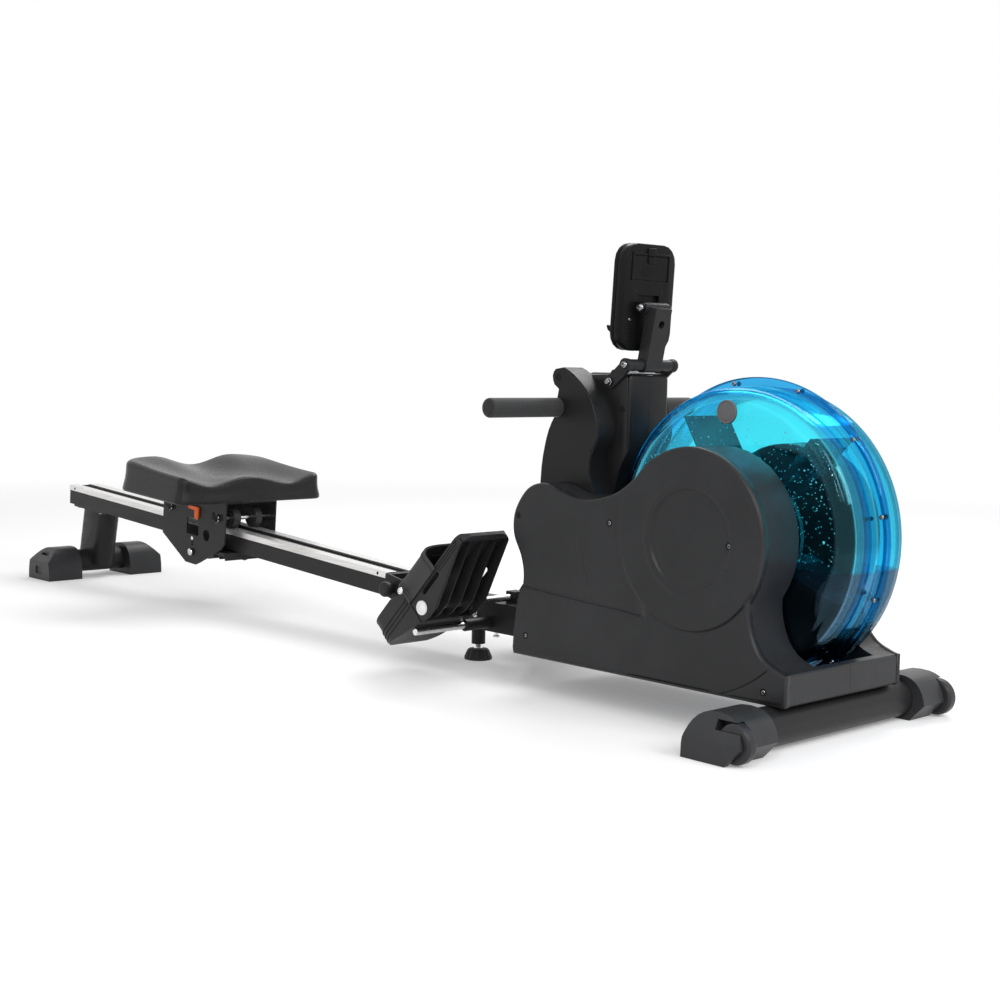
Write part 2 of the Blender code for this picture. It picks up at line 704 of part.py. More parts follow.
def casing_half(name, side):
    """One casing shell. side is -1 for the right one and 1 for the left one."""
    outer = CASING_HALF_WIDTH
    seam = TANK_MID_Y
    shell = slab(name, OUTLINE, -outer, outer)
    bevel(shell, CASING_EDGE, 1, 60)
    cut(shell, tank_room(name + "_tank_room", 0))
    inner = outer - CASING_WALL
    open_below = CASING_REAR_BOTTOM[1] + 2 * CASING_WALL
    inset = [(x, z if z > open_below else 0) for x, z in grown(OUTLINE, -CASING_WALL)]
    hollow = slab(name + "_hollow", inset, -inner, inner)
    cut(hollow, tank_room(name + "_tank_wall", CASING_WALL))
    for y in (-1, 1):
        near, far = sorted((y * (inner - DISH_DEPTH), y * (inner + CASING_WALL)))
        cut(hollow, rod(f"{name}_dish_back_{y}", DRUM_X, DRUM_Z, near, far, DISH_RADIUS + CASING_WALL, sides=24))
    cut(shell, hollow)
    dish = turned(name + "_dish", [(0, -DISH_DEPTH), (DISH_FLOOR_RADIUS, -DISH_DEPTH), (DISH_RADIUS, 0),
                                   (DISH_RADIUS, DISH_DEPTH), (0, DISH_DEPTH)],
                  DRUM_X, DRUM_Z, sides=24, y=side * outer)
    if side < 0:
        dish.rotation_euler = (math.pi, 0, 0)
    cut(shell, dish)
    cut(shell, rod(name + "_shaft_hole", DRUM_X, DRUM_Z, TANK_RIGHT_Y - BEARING_WIDTH, TANK_RIGHT_Y + BEARING_WIDTH,
                   BEARING_RADIUS + GAP, sides=20))
    cut(shell, box(name + "_beam_hole", (CASING_REAR_BOTTOM[0] - 0.02, -BEAM_HALF_WIDTH - GAP, BEAM_BOTTOM_Z - 0.01),
                   (CROSS_BAR_REAR_X, BEAM_HALF_WIDTH + GAP, BEAM_TOP_Z + GAP)))
    cut(shell, box(name + "_post_hole", (POST_REAR_X - GAP, -POST_HALF_WIDTH - GAP, DRUM_Z),
                   (POST_REAR_X + POST_DEPTH + GAP, POST_HALF_WIDTH + GAP, COLUMN_TOP_Z)))
    if side < 0:
        half = box(name + "_half", (-1, -1, -1), (1, seam - GAP / 2, 1))
    else:
        half = box(name + "_half", (-1, seam + GAP / 2, -1), (1, 1, 1))
    keep_inside(shell, half)
    return plastic(shell)


def cheek_outline():
    """A cheek of the column from the side, with the open notch that the handle rests in."""
    notch_radius = GRIP_RADIUS + GAP
    notch = arc(HANDLE_X, HANDLE_Z, notch_radius, -90, 90, 8)
    front = smooth_through([HOOK_TIP[-1], *CHEEK_FRONT, CHEEK_FOOT_FRONT, CHEEK_FOOT_FRONT], 2)
    rear = smooth_through([CHEEK_FOOT_REAR, CHEEK_FOOT_REAR, *CHEEK_REAR, (CHEEK_LIP_X, notch[0][1]),
                           (HANDLE_X, notch[0][1])], 2)
    hook = smooth_through([notch[-1], *HOOK_TIP, CHEEK_FRONT[0]], 2)
    return rear + notch + hook + front[1:]


def column_half(name, side):
    """One column shell with its cheek."""
    full = box(name, (COLUMN_REAR_X, -COLUMN_HALF_WIDTH, COLUMN_FOOT_Z - COLUMN_EDGE),
               (COLUMN_FRONT_X, COLUMN_HALF_WIDTH, COLUMN_TOP_Z))
    bevel(full, COLUMN_EDGE, 3, 30)
    near, far = sorted((side * (COLUMN_HALF_WIDTH - CASING_EDGE), side * CHEEK_OUTER_Y))
    cheek = slab(name + "_cheek", cheek_outline(), near, far)
    join(full, cheek)
    wall = CASING_WALL
    hollow = box(name + "_hollow", (COLUMN_REAR_X + wall, -COLUMN_HALF_WIDTH + wall, COLUMN_FOOT_Z - 0.03),
                 (COLUMN_FRONT_X - wall, COLUMN_HALF_WIDTH - wall, COLUMN_TOP_Z - wall))
    cut(hollow, tank_room(name + "_tank_wall", wall + GAP))
    cut(full, hollow, tank_room(name + "_tank_room", GAP))
    cut(full, slab(name + "_deck", grown(OUTLINE, GAP), -0.2, 0.2))
    slot_half = STRAP_WIDTH / 2 + 0.002
    cut(full, box(name + "_strap_slot", (COLUMN_REAR_X - 0.01, -slot_half, STRAP_Z - 0.003),
                  (COLUMN_REAR_X + 2 * wall, slot_half, STRAP_Z + 0.003)))
    low, high = sorted((side * GAP / 2, side))
    keep_inside(full, box(name + "_half", (-1, low, -1), (1, high, 1)))
    return plastic(full)


def main_frame():
    """The beam, the cross bar, the two bars beside the tank, the post and the leveller's sleeve, welded."""
    beam = box("main_frame", (BEAM_REAR_X, -BEAM_HALF_WIDTH, BEAM_BOTTOM_Z),
               (CROSS_BAR_FRONT_X, BEAM_HALF_WIDTH, BEAM_TOP_Z))
    side_top = SIDE_BAR_Z + SIDE_BAR_HEIGHT
    cross = box("cross_bar", (CROSS_BAR_REAR_X, -CROSS_BAR_HALF_WIDTH, SIDE_BAR_Z),
                (CROSS_BAR_FRONT_X, CROSS_BAR_HALF_WIDTH, side_top))
    inner_y = CROSS_BAR_HALF_WIDTH - SIDE_BAR_WIDTH
    bars = [box(f"side_bar_{i}", (CROSS_BAR_REAR_X, low, SIDE_BAR_Z), (SIDE_BAR_FRONT_X, high, side_top))
            for i, (low, high) in enumerate(((-CROSS_BAR_HALF_WIDTH, -inner_y), (inner_y, CROSS_BAR_HALF_WIDTH)))]
    post = box("post", (POST_REAR_X, -POST_HALF_WIDTH, BEAM_BOTTOM_Z),
               (POST_REAR_X + POST_DEPTH, POST_HALF_WIDTH, POST_TOP_Z))
    sleeve = cylinder_z("leveller_sleeve", LEVELLER_X, 0, LEVELLER_SLEEVE_BOTTOM_Z, BEAM_BOTTOM_Z + BEAM_WALL,
                        LEVELLER_SLEEVE_RADIUS)
    block = box("axle_block", (PEDAL_AXLE_X - AXLE_BLOCK_HALF, -AXLE_BLOCK_HALF, BEAM_TOP_Z - BEAM_WALL),
                (PEDAL_AXLE_X + AXLE_BLOCK_HALF, AXLE_BLOCK_HALF, PEDAL_AXLE_Z + AXLE_BLOCK_TOP))
    end = STOP_SLEEVE_END_Y
    join(beam, cross, *bars, post, sleeve, block,
         rod("stop_sleeve", STOP_ROD_X, STOP_ROD_Z, -end, end, STOP_SLEEVE_RADIUS))
    inside = BEAM_HALF_WIDTH - BEAM_WALL
    hollow = box("beam_hollow", (BEAM_REAR_X - 0.01, -inside, BEAM_BOTTOM_Z + BEAM_WALL),
                 (CROSS_BAR_FRONT_X - BEAM_WALL, inside, BEAM_TOP_Z - BEAM_WALL))
    cut(beam, hollow)
    wall = CROSS_BAR_WALL
    cut(beam, box("cross_hollow", (CROSS_BAR_REAR_X + wall, -CROSS_BAR_HALF_WIDTH + wall, SIDE_BAR_Z + wall),
                  (CROSS_BAR_FRONT_X - wall, CROSS_BAR_HALF_WIDTH - wall, side_top - wall)))
    for i, side in enumerate((-1, 1)):
        low, high = sorted((side * (inner_y + SIDE_BAR_WALL), side * (CROSS_BAR_HALF_WIDTH - SIDE_BAR_WALL)))
        cut(beam, box(f"side_hollow_{i}", (CROSS_BAR_FRONT_X - 2 * wall, low, SIDE_BAR_Z + SIDE_BAR_WALL),
                      (SIDE_BAR_FRONT_X + 0.01, high, side_top - SIDE_BAR_WALL)))
    slot_half = GUIDE_PULLEY_WIDTH / 2 + GAP
    slot_low = GUIDE_PULLEY_Z - GUIDE_PULLEY_RADIUS - 0.002
    cut(beam, box("pulley_slot", (POST_REAR_X - 0.01, -slot_half, slot_low),
                  (POST_REAR_X + POST_DEPTH + 0.01, slot_half, POST_TOP_Z + 0.01)))
    cut(beam, box("post_hollow", (POST_REAR_X + POST_WALL, -POST_HALF_WIDTH + POST_WALL, BEAM_TOP_Z - 2 * BEAM_WALL),
                  (POST_REAR_X + POST_DEPTH - POST_WALL, POST_HALF_WIDTH - POST_WALL, slot_low - POST_WALL)))
    wide = 0.1
    cut(beam, rod("pulley_pin_hole", GUIDE_PULLEY_X, GUIDE_PULLEY_Z, -wide, wide, GUIDE_PULLEY_PIN + GAP))
    cut(beam, rod("axle_hole", PEDAL_AXLE_X, PEDAL_AXLE_Z, -wide, wide, PEDAL_ROD_RADIUS + GAP))
    cut(beam, rod("stop_hole", STOP_ROD_X, STOP_ROD_Z, -wide, wide, PEDAL_ROD_RADIUS + GAP))
    cut(beam, rod("pivot_hole", PIVOT_X, PIVOT_Z, -wide, wide, PIVOT_RADIUS + GAP))
    cut(beam, cylinder_z("leveller_bore", LEVELLER_X, 0, LEVELLER_SLEEVE_BOTTOM_Z - 0.01, BEAM_BOTTOM_Z,
                         LEVELLER_ROD_RADIUS + GAP))
    return painted(beam)


def cap_outline(height, x_centre):
    """A foot cap from the side: half a superellipse on a flat bottom."""
    angles = np.linspace(0, math.pi, 17)
    half = CAP_DEPTH / 2
    along = np.sign(np.cos(angles)) * np.abs(np.cos(angles)) ** 0.75
    return [(x_centre + half * a, height * s) for a, s in zip(along, np.sin(angles) ** 0.75)]


def front_cap(name, side):
    outer = FRONT_FOOT_WIDTH / 2
    low, high = sorted((side * CAP_INNER_Y, side * outer))
    cap = slab(name, cap_outline(FRONT_CAP_HEIGHT, 0), low, high)
    lean = [(side * outer, FRONT_CAP_CREASE_Z), (side * (outer + 0.02), FRONT_CAP_CREASE_Z),
            (side * (outer + 0.02), FRONT_CAP_HEIGHT + 0.01),
            (side * (outer - FRONT_CAP_LEAN * (1 + 0.01 / (FRONT_CAP_HEIGHT - FRONT_CAP_CREASE_Z))),
             FRONT_CAP_HEIGHT + 0.01)]
    cut(cap, cross_slab(name + "_lean", lean, -CAP_DEPTH, CAP_DEPTH))
    front = CAP_DEPTH / 2
    rise = FRONT_CAP_CREASE_Z
    cut(cap, slab(name + "_toe", [(front - rise, -0.001), (front + 0.01, rise + 0.01), (front + 0.01, -0.001)],
                  low - 0.01, high + 0.01))
    end = FOOT_TUBE_END_Y + GAP
    cut(cap, rod(name + "_bore", 0, FOOT_TUBE_Z, -end, end, FOOT_TUBE_RADIUS + GAP, sides=24))
    slot_half = WHEEL_WIDTH / 2 + WHEEL_SLOT_GAP
    inner_x = WHEEL_X - WHEEL_RADIUS - WHEEL_SLOT_GAP
    cut(cap, box(name + "_wheel_slot", (inner_x, side * WHEEL_Y - slot_half, -0.01),
                 (front + 0.01, side * WHEEL_Y + slot_half, WHEEL_Z + WHEEL_RADIUS + WHEEL_SLOT_GAP)))
    pin = WHEEL_WIDTH / 2 + WHEEL_PIN_LENGTH + GAP
    cut(cap, rod(name + "_pin_hole", WHEEL_X, WHEEL_Z, side * WHEEL_Y - pin, side * WHEEL_Y + pin,
                 WHEEL_PIN_RADIUS + GAP, sides=12))
    return plastic(cap)


def wheel(name, side):
    half, pin = WHEEL_WIDTH / 2, WHEEL_WIDTH / 2 + WHEEL_PIN_LENGTH
    edge = 0.003
    profile = [(0, -pin), (WHEEL_PIN_RADIUS, -pin), (WHEEL_PIN_RADIUS, -half), (WHEEL_RADIUS - edge, -half),
               (WHEEL_RADIUS, -half + edge), (WHEEL_RADIUS, half - edge), (WHEEL_RADIUS - edge, half),
               (WHEEL_PIN_RADIUS, half), (WHEEL_PIN_RADIUS, pin), (0, pin)]
    return finish(turned(name, profile, WHEEL_X, WHEEL_Z, sides=20, y=side * WHEEL_Y), WHEEL_GREY, 0.6)


def tank_half(name, side):
    """One blow-moulded tank half: a flanged rim, a rounded shoulder and a flat side."""
    depth, wall, shoulder = TANK_HALF_DEPTH, TANK_WALL, TANK_SHOULDER
    hole = BEARING_RADIUS + GAP
    step = 2 * TANK_FLANGE_THICKNESS
    outer = [(TANK_FLANGE_RADIUS, GAP / 2), (TANK_FLANGE_RADIUS, TANK_FLANGE_THICKNESS),
             (TANK_RADIUS + wall / 2, TANK_FLANGE_THICKNESS), (TANK_RADIUS, step)]
    outer += [(r, t) for t, r in arc(depth - shoulder, TANK_RADIUS - shoulder, shoulder, 90, 0, 2)]
    inside = [(r, t) for t, r in arc(depth - shoulder, TANK_RADIUS - shoulder, shoulder - wall, 0, 90, 2)]
    if side < 0:
        profile = outer + [(hole, depth), (hole, depth - wall)] + inside + [(TANK_RADIUS - wall, GAP / 2)]
    else:
        boss, bore = depth - wall - BOSS_LENGTH, SHAFT_RADIUS + GAP
        profile = ([(0, depth)] + list(reversed(outer)) + [(TANK_RADIUS - wall, GAP / 2)]
                   + list(reversed(inside)) + [(BOSS_RADIUS, depth - wall), (BOSS_RADIUS, boss), (bore, boss),
                                               (bore, depth - wall), (0, depth - wall)])
    half = turned(name, [(r, side * t) for r, t in profile], DRUM_X, DRUM_Z, sides=36, y=TANK_MID_Y)
    if side < 0:
        cut(half, rod(name + "_filler", DRUM_X, DRUM_Z + PLUG_ORBIT, TANK_RIGHT_Y - 0.01,
                      TANK_RIGHT_Y + 2 * wall, PLUG_STEM_RADIUS + GAP, sides=16))
    return finish(half, TANK_BLUE, 0.05, alpha=0.35)


def impeller():
    hub = rod("impeller", DRUM_X, DRUM_Z, -IMPELLER_HUB_HALF, IMPELLER_HUB_HALF, IMPELLER_HUB_RADIUS,
              sides=20, bore=SHAFT_RADIUS + GAP)
    hub.location.y = TANK_MID_Y
    half = IMPELLER_DISC_THICKNESS / 2
    join(hub, rod("impeller_disc", DRUM_X, DRUM_Z, TANK_MID_Y - half, TANK_MID_Y + half, IMPELLER_DISC_RADIUS,
                  sides=24, bore=(SHAFT_RADIUS + IMPELLER_HUB_RADIUS) / 2))
    root = IMPELLER_DISC_RADIUS - 2 * IMPELLER_DISC_THICKNESS
    for i in range(BLADE_COUNT):
        blade = box(f"blade_{i}", (root, -BLADE_HALF_WIDTH, -BLADE_THICKNESS / 2),
                    (IMPELLER_RADIUS, BLADE_HALF_WIDTH, BLADE_THICKNESS / 2))
        blade.rotation_euler = (0, -math.radians(BLADE_FIRST_ANGLE + i * 360 / BLADE_COUNT), 0)
        blade.location = (DRUM_X, TANK_MID_Y, DRUM_Z)
        join(hub, blade)
    return finish(hub, PADDLE_GREY, 0.5)


def spool():
    half, core, rim = SPOOL_HALF_WIDTH, SPOOL_CORE_RADIUS, SPOOL_FLANGE_RADIUS
    inner = half - SPOOL_FLANGE
    bore = SHAFT_RADIUS + GAP
    profile = [(bore, -half), (rim, -half), (rim, -inner), (core, -inner), (core, inner), (rim, inner),
               (rim, half), (bore, half)]
    return plastic(turned("strap_spool", profile, DRUM_X, DRUM_Z, sides=24, y=SPOOL_CENTRE_Y))


def fill_plug():
    stem, head = PLUG_STEM_RADIUS, PLUG_HEAD_RADIUS
    face = TANK_RIGHT_Y - GAP
    outer = face - PLUG_HEAD_THICKNESS
    profile = [(0, outer), (head - 0.002, outer), (head, outer + 0.002), (head, face), (stem, face),
               (stem, TANK_RIGHT_Y + TANK_WALL), (0, TANK_RIGHT_Y + TANK_WALL)]
    return finish(turned("fill_plug", profile, DRUM_X, DRUM_Z + PLUG_ORBIT, sides=18), WHEEL_GREY, 0.6)


def guide_pulley():
    half, pin = GUIDE_PULLEY_WIDTH / 2, POST_HALF_WIDTH
    profile = [(0, -pin), (GUIDE_PULLEY_PIN, -pin), (GUIDE_PULLEY_PIN, -half), (GUIDE_PULLEY_RADIUS, -half),
               (GUIDE_PULLEY_RADIUS, half), (GUIDE_PULLEY_PIN, half), (GUIDE_PULLEY_PIN, pin), (0, pin)]
    return plastic(turned("guide_pulley", profile, GUIDE_PULLEY_X, GUIDE_PULLEY_Z, sides=16))


def handle():
    bar_end = GRIP_OUTER_Y - GRIP_RADIUS / 4
    painted(rod("handle_bar", HANDLE_X, HANDLE_Z, -bar_end, bar_end, BAR_RADIUS, bore=BAR_RADIUS - BAR_WALL))
    edge = 0.002
    bore = BAR_RADIUS + GAP
    end_wall = bar_end + GAP
    for name, side in (("handle_grip_right", -1), ("handle_grip_left", 1)):
        profile = [(0, side * GRIP_OUTER_Y), (GRIP_RADIUS - edge, side * GRIP_OUTER_Y),
                   (GRIP_RADIUS, side * (GRIP_OUTER_Y - edge)), (GRIP_RADIUS, side * GRIP_INNER_Y),
                   (bore, side * GRIP_INNER_Y), (bore, side * end_wall), (0, side * end_wall)]
        rubber(turned(name, profile, HANDLE_X, HANDLE_Z, sides=18))
    clamp = box("strap_clamp", (HANDLE_X - CLAMP_REAR, -CLAMP_HALF_WIDTH, HANDLE_Z - CLAMP_HALF_HEIGHT),
                (HANDLE_X + CLAMP_FRONT, CLAMP_HALF_WIDTH, HANDLE_Z + CLAMP_HALF_HEIGHT))
    bevel(clamp, 0.005, 2)
    wide = 2 * CLAMP_HALF_WIDTH
    cut(clamp, rod("clamp_bore", HANDLE_X, HANDLE_Z, -wide, wide, BAR_RADIUS + GAP))
    plastic(clamp)
    strap = box("pull_strap", (HANDLE_X + CLAMP_FRONT + GAP, -STRAP_WIDTH / 2, STRAP_Z - STRAP_THICKNESS / 2),
                (GUIDE_PULLEY_X, STRAP_WIDTH / 2, STRAP_Z + STRAP_THICKNESS / 2))
    rubber(strap)


def console_bracket():
    half = BRACKET_HALF_LENGTH
    tube = rod("console_bracket", BRACKET_X, BRACKET_Z, -half, half, BRACKET_TUBE_RADIUS)
    toward = math.degrees(math.atan2(BRACKET_BOLT_Z - BRACKET_Z, BRACKET_BOLT_X - BRACKET_X))
    radius = BRACKET_TUBE_RADIUS + 0.001
    outline = (arc(BRACKET_X, BRACKET_Z, radius, toward - 270, toward - 90, 8)
               + arc(BRACKET_BOLT_X, BRACKET_BOLT_Z, radius, toward - 90, toward + 90, 8))
    inner = COLUMN_HALF_WIDTH + GAP
    for i, (low, high) in enumerate(((-inner - BRACKET_PLATE, -inner), (inner, inner + BRACKET_PLATE))):
        join(tube, slab(f"bracket_plate_{i}", outline, low, high))
    return painted(tube)


def console_arm():
    arm = box("console_arm", (-ARM_HALF_DEPTH, -ARM_HALF_WIDTH, ARM_SLEEVE_RADIUS / 5),
              (ARM_HALF_DEPTH, ARM_HALF_WIDTH, ARM_LENGTH + ARM_HEAD_RADIUS / 3), ARM)
    end = ARM_HALF_WIDTH + 0.001
    sleeve = rod("arm_sleeve", 0, 0, -end, end, ARM_SLEEVE_RADIUS, ARM)
    head = rod("arm_head", -ARM_HEAD_SET_BACK, ARM_LENGTH, -ARM_HEAD_HALF_LENGTH, ARM_HEAD_HALF_LENGTH, ARM_HEAD_RADIUS, ARM)
    cut(arm, cylinder_x("cable_hole", 0, ARM_HOLE_HEIGHT, -0.03, 0.03, ARM_HOLE_RADIUS, ARM))
    join(arm, sleeve, head)
    wide = 2 * ARM_HEAD_HALF_LENGTH
    cut(arm, rod("arm_sleeve_bore", 0, 0, -wide, wide, BRACKET_TUBE_RADIUS + GAP, ARM))
    cut(arm, rod("arm_head_bore", -ARM_HEAD_SET_BACK, ARM_LENGTH, -wide, wide, CONSOLE_PIN_RADIUS + GAP, ARM))
    return painted(arm)


def console_outline(inset=0.0):
    half = CONSOLE_HALF_WIDTH - inset
    return rounded_rectangle(-half, half, -CONSOLE_BELOW_PIN + inset, CONSOLE_ABOVE_PIN - inset,
                             CONSOLE_CORNER - inset, 4)


def console():
    back_x, front_x = CONSOLE_BACK_X, CONSOLE_BACK_X - CONSOLE_BACK_DEPTH
    back = cross_slab("console_back", console_outline(), front_x, back_x, CONSOLE)
    bevel(back, CONSOLE_ROUNDING, 2)
    shell_x = back_x - ARM_RECESS_DEPTH - CONSOLE_SHELL
    cut(back, cross_slab("console_hollow", console_outline(CONSOLE_SHELL), front_x - 0.01, shell_x, CONSOLE))
    cut(back, box("arm_recess", (back_x - ARM_RECESS_DEPTH, -ARM_RECESS_HALF_WIDTH, -CONSOLE_BELOW_PIN - 0.01),
                  (back_x + 0.01, ARM_RECESS_HALF_WIDTH, ARM_HEAD_RADIUS + 0.01), CONSOLE))
    ear_low = ARM_HEAD_HALF_LENGTH + GAP
    ear_outline = [(back_x - 0.004, -0.008), (0, -0.008), *arc(0, 0, 0.008, -90, 90, 8)[1:], (back_x - 0.004, 0.008)]
    for i, side in enumerate((-1, 1)):
        low, high = sorted((side * ear_low, side * (ear_low + CONSOLE_EAR)))
        join(back, slab(f"console_ear_{i}", ear_outline, low, high, CONSOLE))
    join(back, rod("console_pin", 0, 0, -ear_low - CONSOLE_EAR / 2, ear_low + CONSOLE_EAR / 2,
                   CONSOLE_PIN_RADIUS, CONSOLE, 16))
    cut(back, box("cover_pocket", (back_x - COVER_DEPTH - GAP, -COVER_HALF_WIDTH - GAP, COVER_LOW - GAP),
                  (back_x + 0.01, COVER_HALF_WIDTH + GAP, COVER_HIGH + GAP), CONSOLE))
    plastic(back)
    plastic(box("battery_cover", (back_x - COVER_DEPTH, -COVER_HALF_WIDTH, COVER_LOW),
                (back_x + COVER_PROUD, COVER_HALF_WIDTH, COVER_HIGH), CONSOLE))
    face_x = front_x - GAP
    outer_x = face_x - CONSOLE_FRONT_DEPTH
    front = cross_slab("console_front", console_outline(), outer_x, face_x, CONSOLE)
    bevel(front, CONSOLE_SHELL, 2)
    plastic(front)
    for i, name in enumerate(("button_mode", "button_set", "button_reset")):
        y = (1 - i) * BUTTON_SPACING
        cut(front, cylinder_x(name + "_hole", y, -BUTTON_BELOW_PIN, outer_x - 0.01, face_x + 0.01,
                              BUTTON_RADIUS + GAP, CONSOLE))
        button = cylinder_x(name, y, -BUTTON_BELOW_PIN, outer_x - BUTTON_PROUD, face_x, BUTTON_RADIUS, CONSOLE)
        rubber(button)


def pedal_side_outline():
    toe_low = PEDAL_BED - PEDAL_TOE_THICKNESS
    return [(PEDAL_REAR, under_pedal(PEDAL_REAR)), (0, PEDAL_KEEL), (PEDAL_KEEL_END, PEDAL_KEEL),
            (PEDAL_TOE - 0.014, toe_low - 0.003), (PEDAL_TOE, toe_low), (PEDAL_TOE, PEDAL_BED - 0.005),
            (PEDAL_TOE - 0.006, PEDAL_BED), (PEDAL_REAR, PEDAL_BED)]


def pedal(side, label):
    """The foot plate: a bed with side walls and a boss round its axle, open underneath."""
    name = "pedal_" + label
    low, high = sorted((side * (PEDAL_CENTRE_Y - PEDAL_HALF_WIDTH), side * (PEDAL_CENTRE_Y + PEDAL_HALF_WIDTH)))
    outline = pedal_side_outline()
    plate = slab(name, outline, low, high, PEDALS)
    bevel(plate, 0.002, 1, 60)
    bed_low = PEDAL_BED - PEDAL_BED_THICKNESS
    hollow = [(PEDAL_REAR + PEDAL_WALL, PEDAL_KEEL - 0.02), (PEDAL_TOE - 2 * PEDAL_WALL, PEDAL_KEEL - 0.02),
              (PEDAL_TOE - 2 * PEDAL_WALL, bed_low), (PEDAL_REAR + PEDAL_WALL, bed_low)]
    cut(plate, slab(name + "_hollow", hollow, low + PEDAL_WALL, high - PEDAL_WALL, PEDALS))
    toe = PEDAL_TOE - TOE_CORNER
    corner_low, corner_high = low + TOE_CORNER, high - TOE_CORNER
    plan = [(PEDAL_REAR - 0.01, low - 0.01), (toe, low - 0.01), *arc(toe, corner_low, TOE_CORNER, -90, 0, 5),
            *arc(toe, corner_high, TOE_CORNER, 0, 90, 5), (toe, high + 0.01), (PEDAL_REAR - 0.01, high + 0.01)]
    keep_inside(plate, plan_slab(name + "_plan", plan, -0.1, 0.1, PEDALS))
    for i, y in enumerate((low, high)):
        inward = (PEDAL_WALL / 2, PEDAL_BOSS_LENGTH) if i == 0 else (-PEDAL_BOSS_LENGTH, -PEDAL_WALL / 2)
        join(plate, rod(f"{name}_boss_{i}", 0, 0, y + inward[0], y + inward[1], PEDAL_BOSS_RADIUS, PEDALS))
    rib = grown(outline, -PEDAL_WALL)
    for i in (1, 2, 3):
        y = low + i * (high - low) / 4
        join(plate, slab(f"{name}_rib_{i}", rib, y - PEDAL_RIB / 2, y + PEDAL_RIB / 2, PEDALS))
    reach = PEDAL_CENTRE_Y + PEDAL_HALF_WIDTH - PEDAL_ROD_SHORT + GAP
    cut(plate, rod(name + "_bore", 0, 0, -reach, reach, PEDAL_ROD_RADIUS + GAP, PEDALS))
    slot = rounded_rectangle(SIDE_SLOT_START, SIDE_SLOT_END, SIDE_SLOT_HEIGHT - SIDE_SLOT_HALF,
                             SIDE_SLOT_HEIGHT + SIDE_SLOT_HALF, SIDE_SLOT_HALF * 0.99, 3)
    for i, (start, end) in enumerate(((low - 0.01, low + 2 * PEDAL_WALL), (high - 2 * PEDAL_WALL, high + 0.01))):
        cut(plate, slab(f"{name}_side_slot_{i}", slot, start, end, PEDALS))
    plastic(plate)


def heel_cup(side, label):
    """The cup that holds the heel: a floor, two sides and a rounded back, open to the front and the top."""
    name = "heel_cup_" + label
    centre = side * PEDAL_CENTRE_Y
    half = PEDAL_HALF_WIDTH
    front = PEDAL_REAR - GAP
    outline = [(front, under_pedal(front)), (front, HEEL_WALL_FRONT), (-0.050, HEEL_WALL_TOP),
               (HEEL_REAR + 0.006, HEEL_WALL_TOP), (HEEL_REAR, HEEL_WALL_TOP - 0.006),
               (HEEL_REAR, HEEL_REAR_LOW + 0.006), (HEEL_REAR + 0.004, under_pedal(HEEL_REAR + 0.004))]
    cup = slab(name, outline, centre - half, centre + half, PEDALS)

    def plan(inset, reach):
        corner = HEEL_CORNER - inset
        rear = HEEL_REAR + inset
        return ([(reach, centre + half - inset)] + [(x, centre + y) for x, y in (
                 arc(rear + corner, half - inset - corner, corner, 90, 180, 6)
                 + arc(rear + corner, -half + inset + corner, corner, 180, 270, 6))]
                + [(reach, centre - half + inset)])
    keep_inside(cup, plan_slab(name + "_round", plan(0, front + 0.01), -0.1, 0.1, PEDALS))
    cut(cup, plan_slab(name + "_hollow", plan(PEDAL_WALL, front + 0.02), PEDAL_BED, 0.2, PEDALS))
    plastic(cup)


def foot_strap(side, label):
    """A band that arches over the foot from one edge of the bed to the other."""
    name = "foot_strap_" + label
    centre = side * PEDAL_CENTRE_Y
    inner = PEDAL_HALF_WIDTH + GAP
    outer = inner + FOOT_STRAP_THICKNESS
    base = PEDAL_BED - FOOT_STRAP_LAP
    angles = np.linspace(0, math.pi, 17)

    def arch(half, rise):
        return [(centre + (half + FOOT_STRAP_BULGE * math.sin(a)) * math.copysign(abs(math.cos(a)) ** 0.6, math.cos(a)),
                 PEDAL_BED + rise * abs(math.sin(a)) ** 0.6) for a in angles]
    outside = arch(outer, FOOT_STRAP_RISE + FOOT_STRAP_THICKNESS)
    inside = arch(inner, FOOT_STRAP_RISE)
    outline = ([(centre + outer, base)] + outside + [(centre - outer, base), (centre - inner, base)]
               + inside[::-1] + [(centre + inner, base)])
    rubber(cross_slab(name, outline, FOOT_STRAP_START, FOOT_STRAP_END, PEDALS))


def pedal_rods():
    end = PEDAL_CENTRE_Y + PEDAL_HALF_WIDTH - PEDAL_ROD_SHORT
    chromed(rod("pedal_axle", PEDAL_AXLE_X, PEDAL_AXLE_Z, -end, end, PEDAL_ROD_RADIUS, sides=16))
    chromed(rod("pedal_stop_rod", STOP_ROD_X, STOP_ROD_Z, -end, end, PEDAL_ROD_RADIUS, sides=16))


def leveller():
    foot, rod_radius = LEVELLER_FOOT_RADIUS, LEVELLER_ROD_RADIUS
    top = BEAM_BOTTOM_Z - GAP - LEVELLER_TRAVEL
    profile = [(0, 0), (foot, 0), (foot, 0.004), (foot - 0.006, LEVELLER_FOOT_HEIGHT),
               (rod_radius, LEVELLER_FOOT_HEIGHT), (rod_radius, top), (0, top)]
    rubber(turned("leveller_foot", profile, LEVELLER_X, 0, sides=20, axis="Z"))


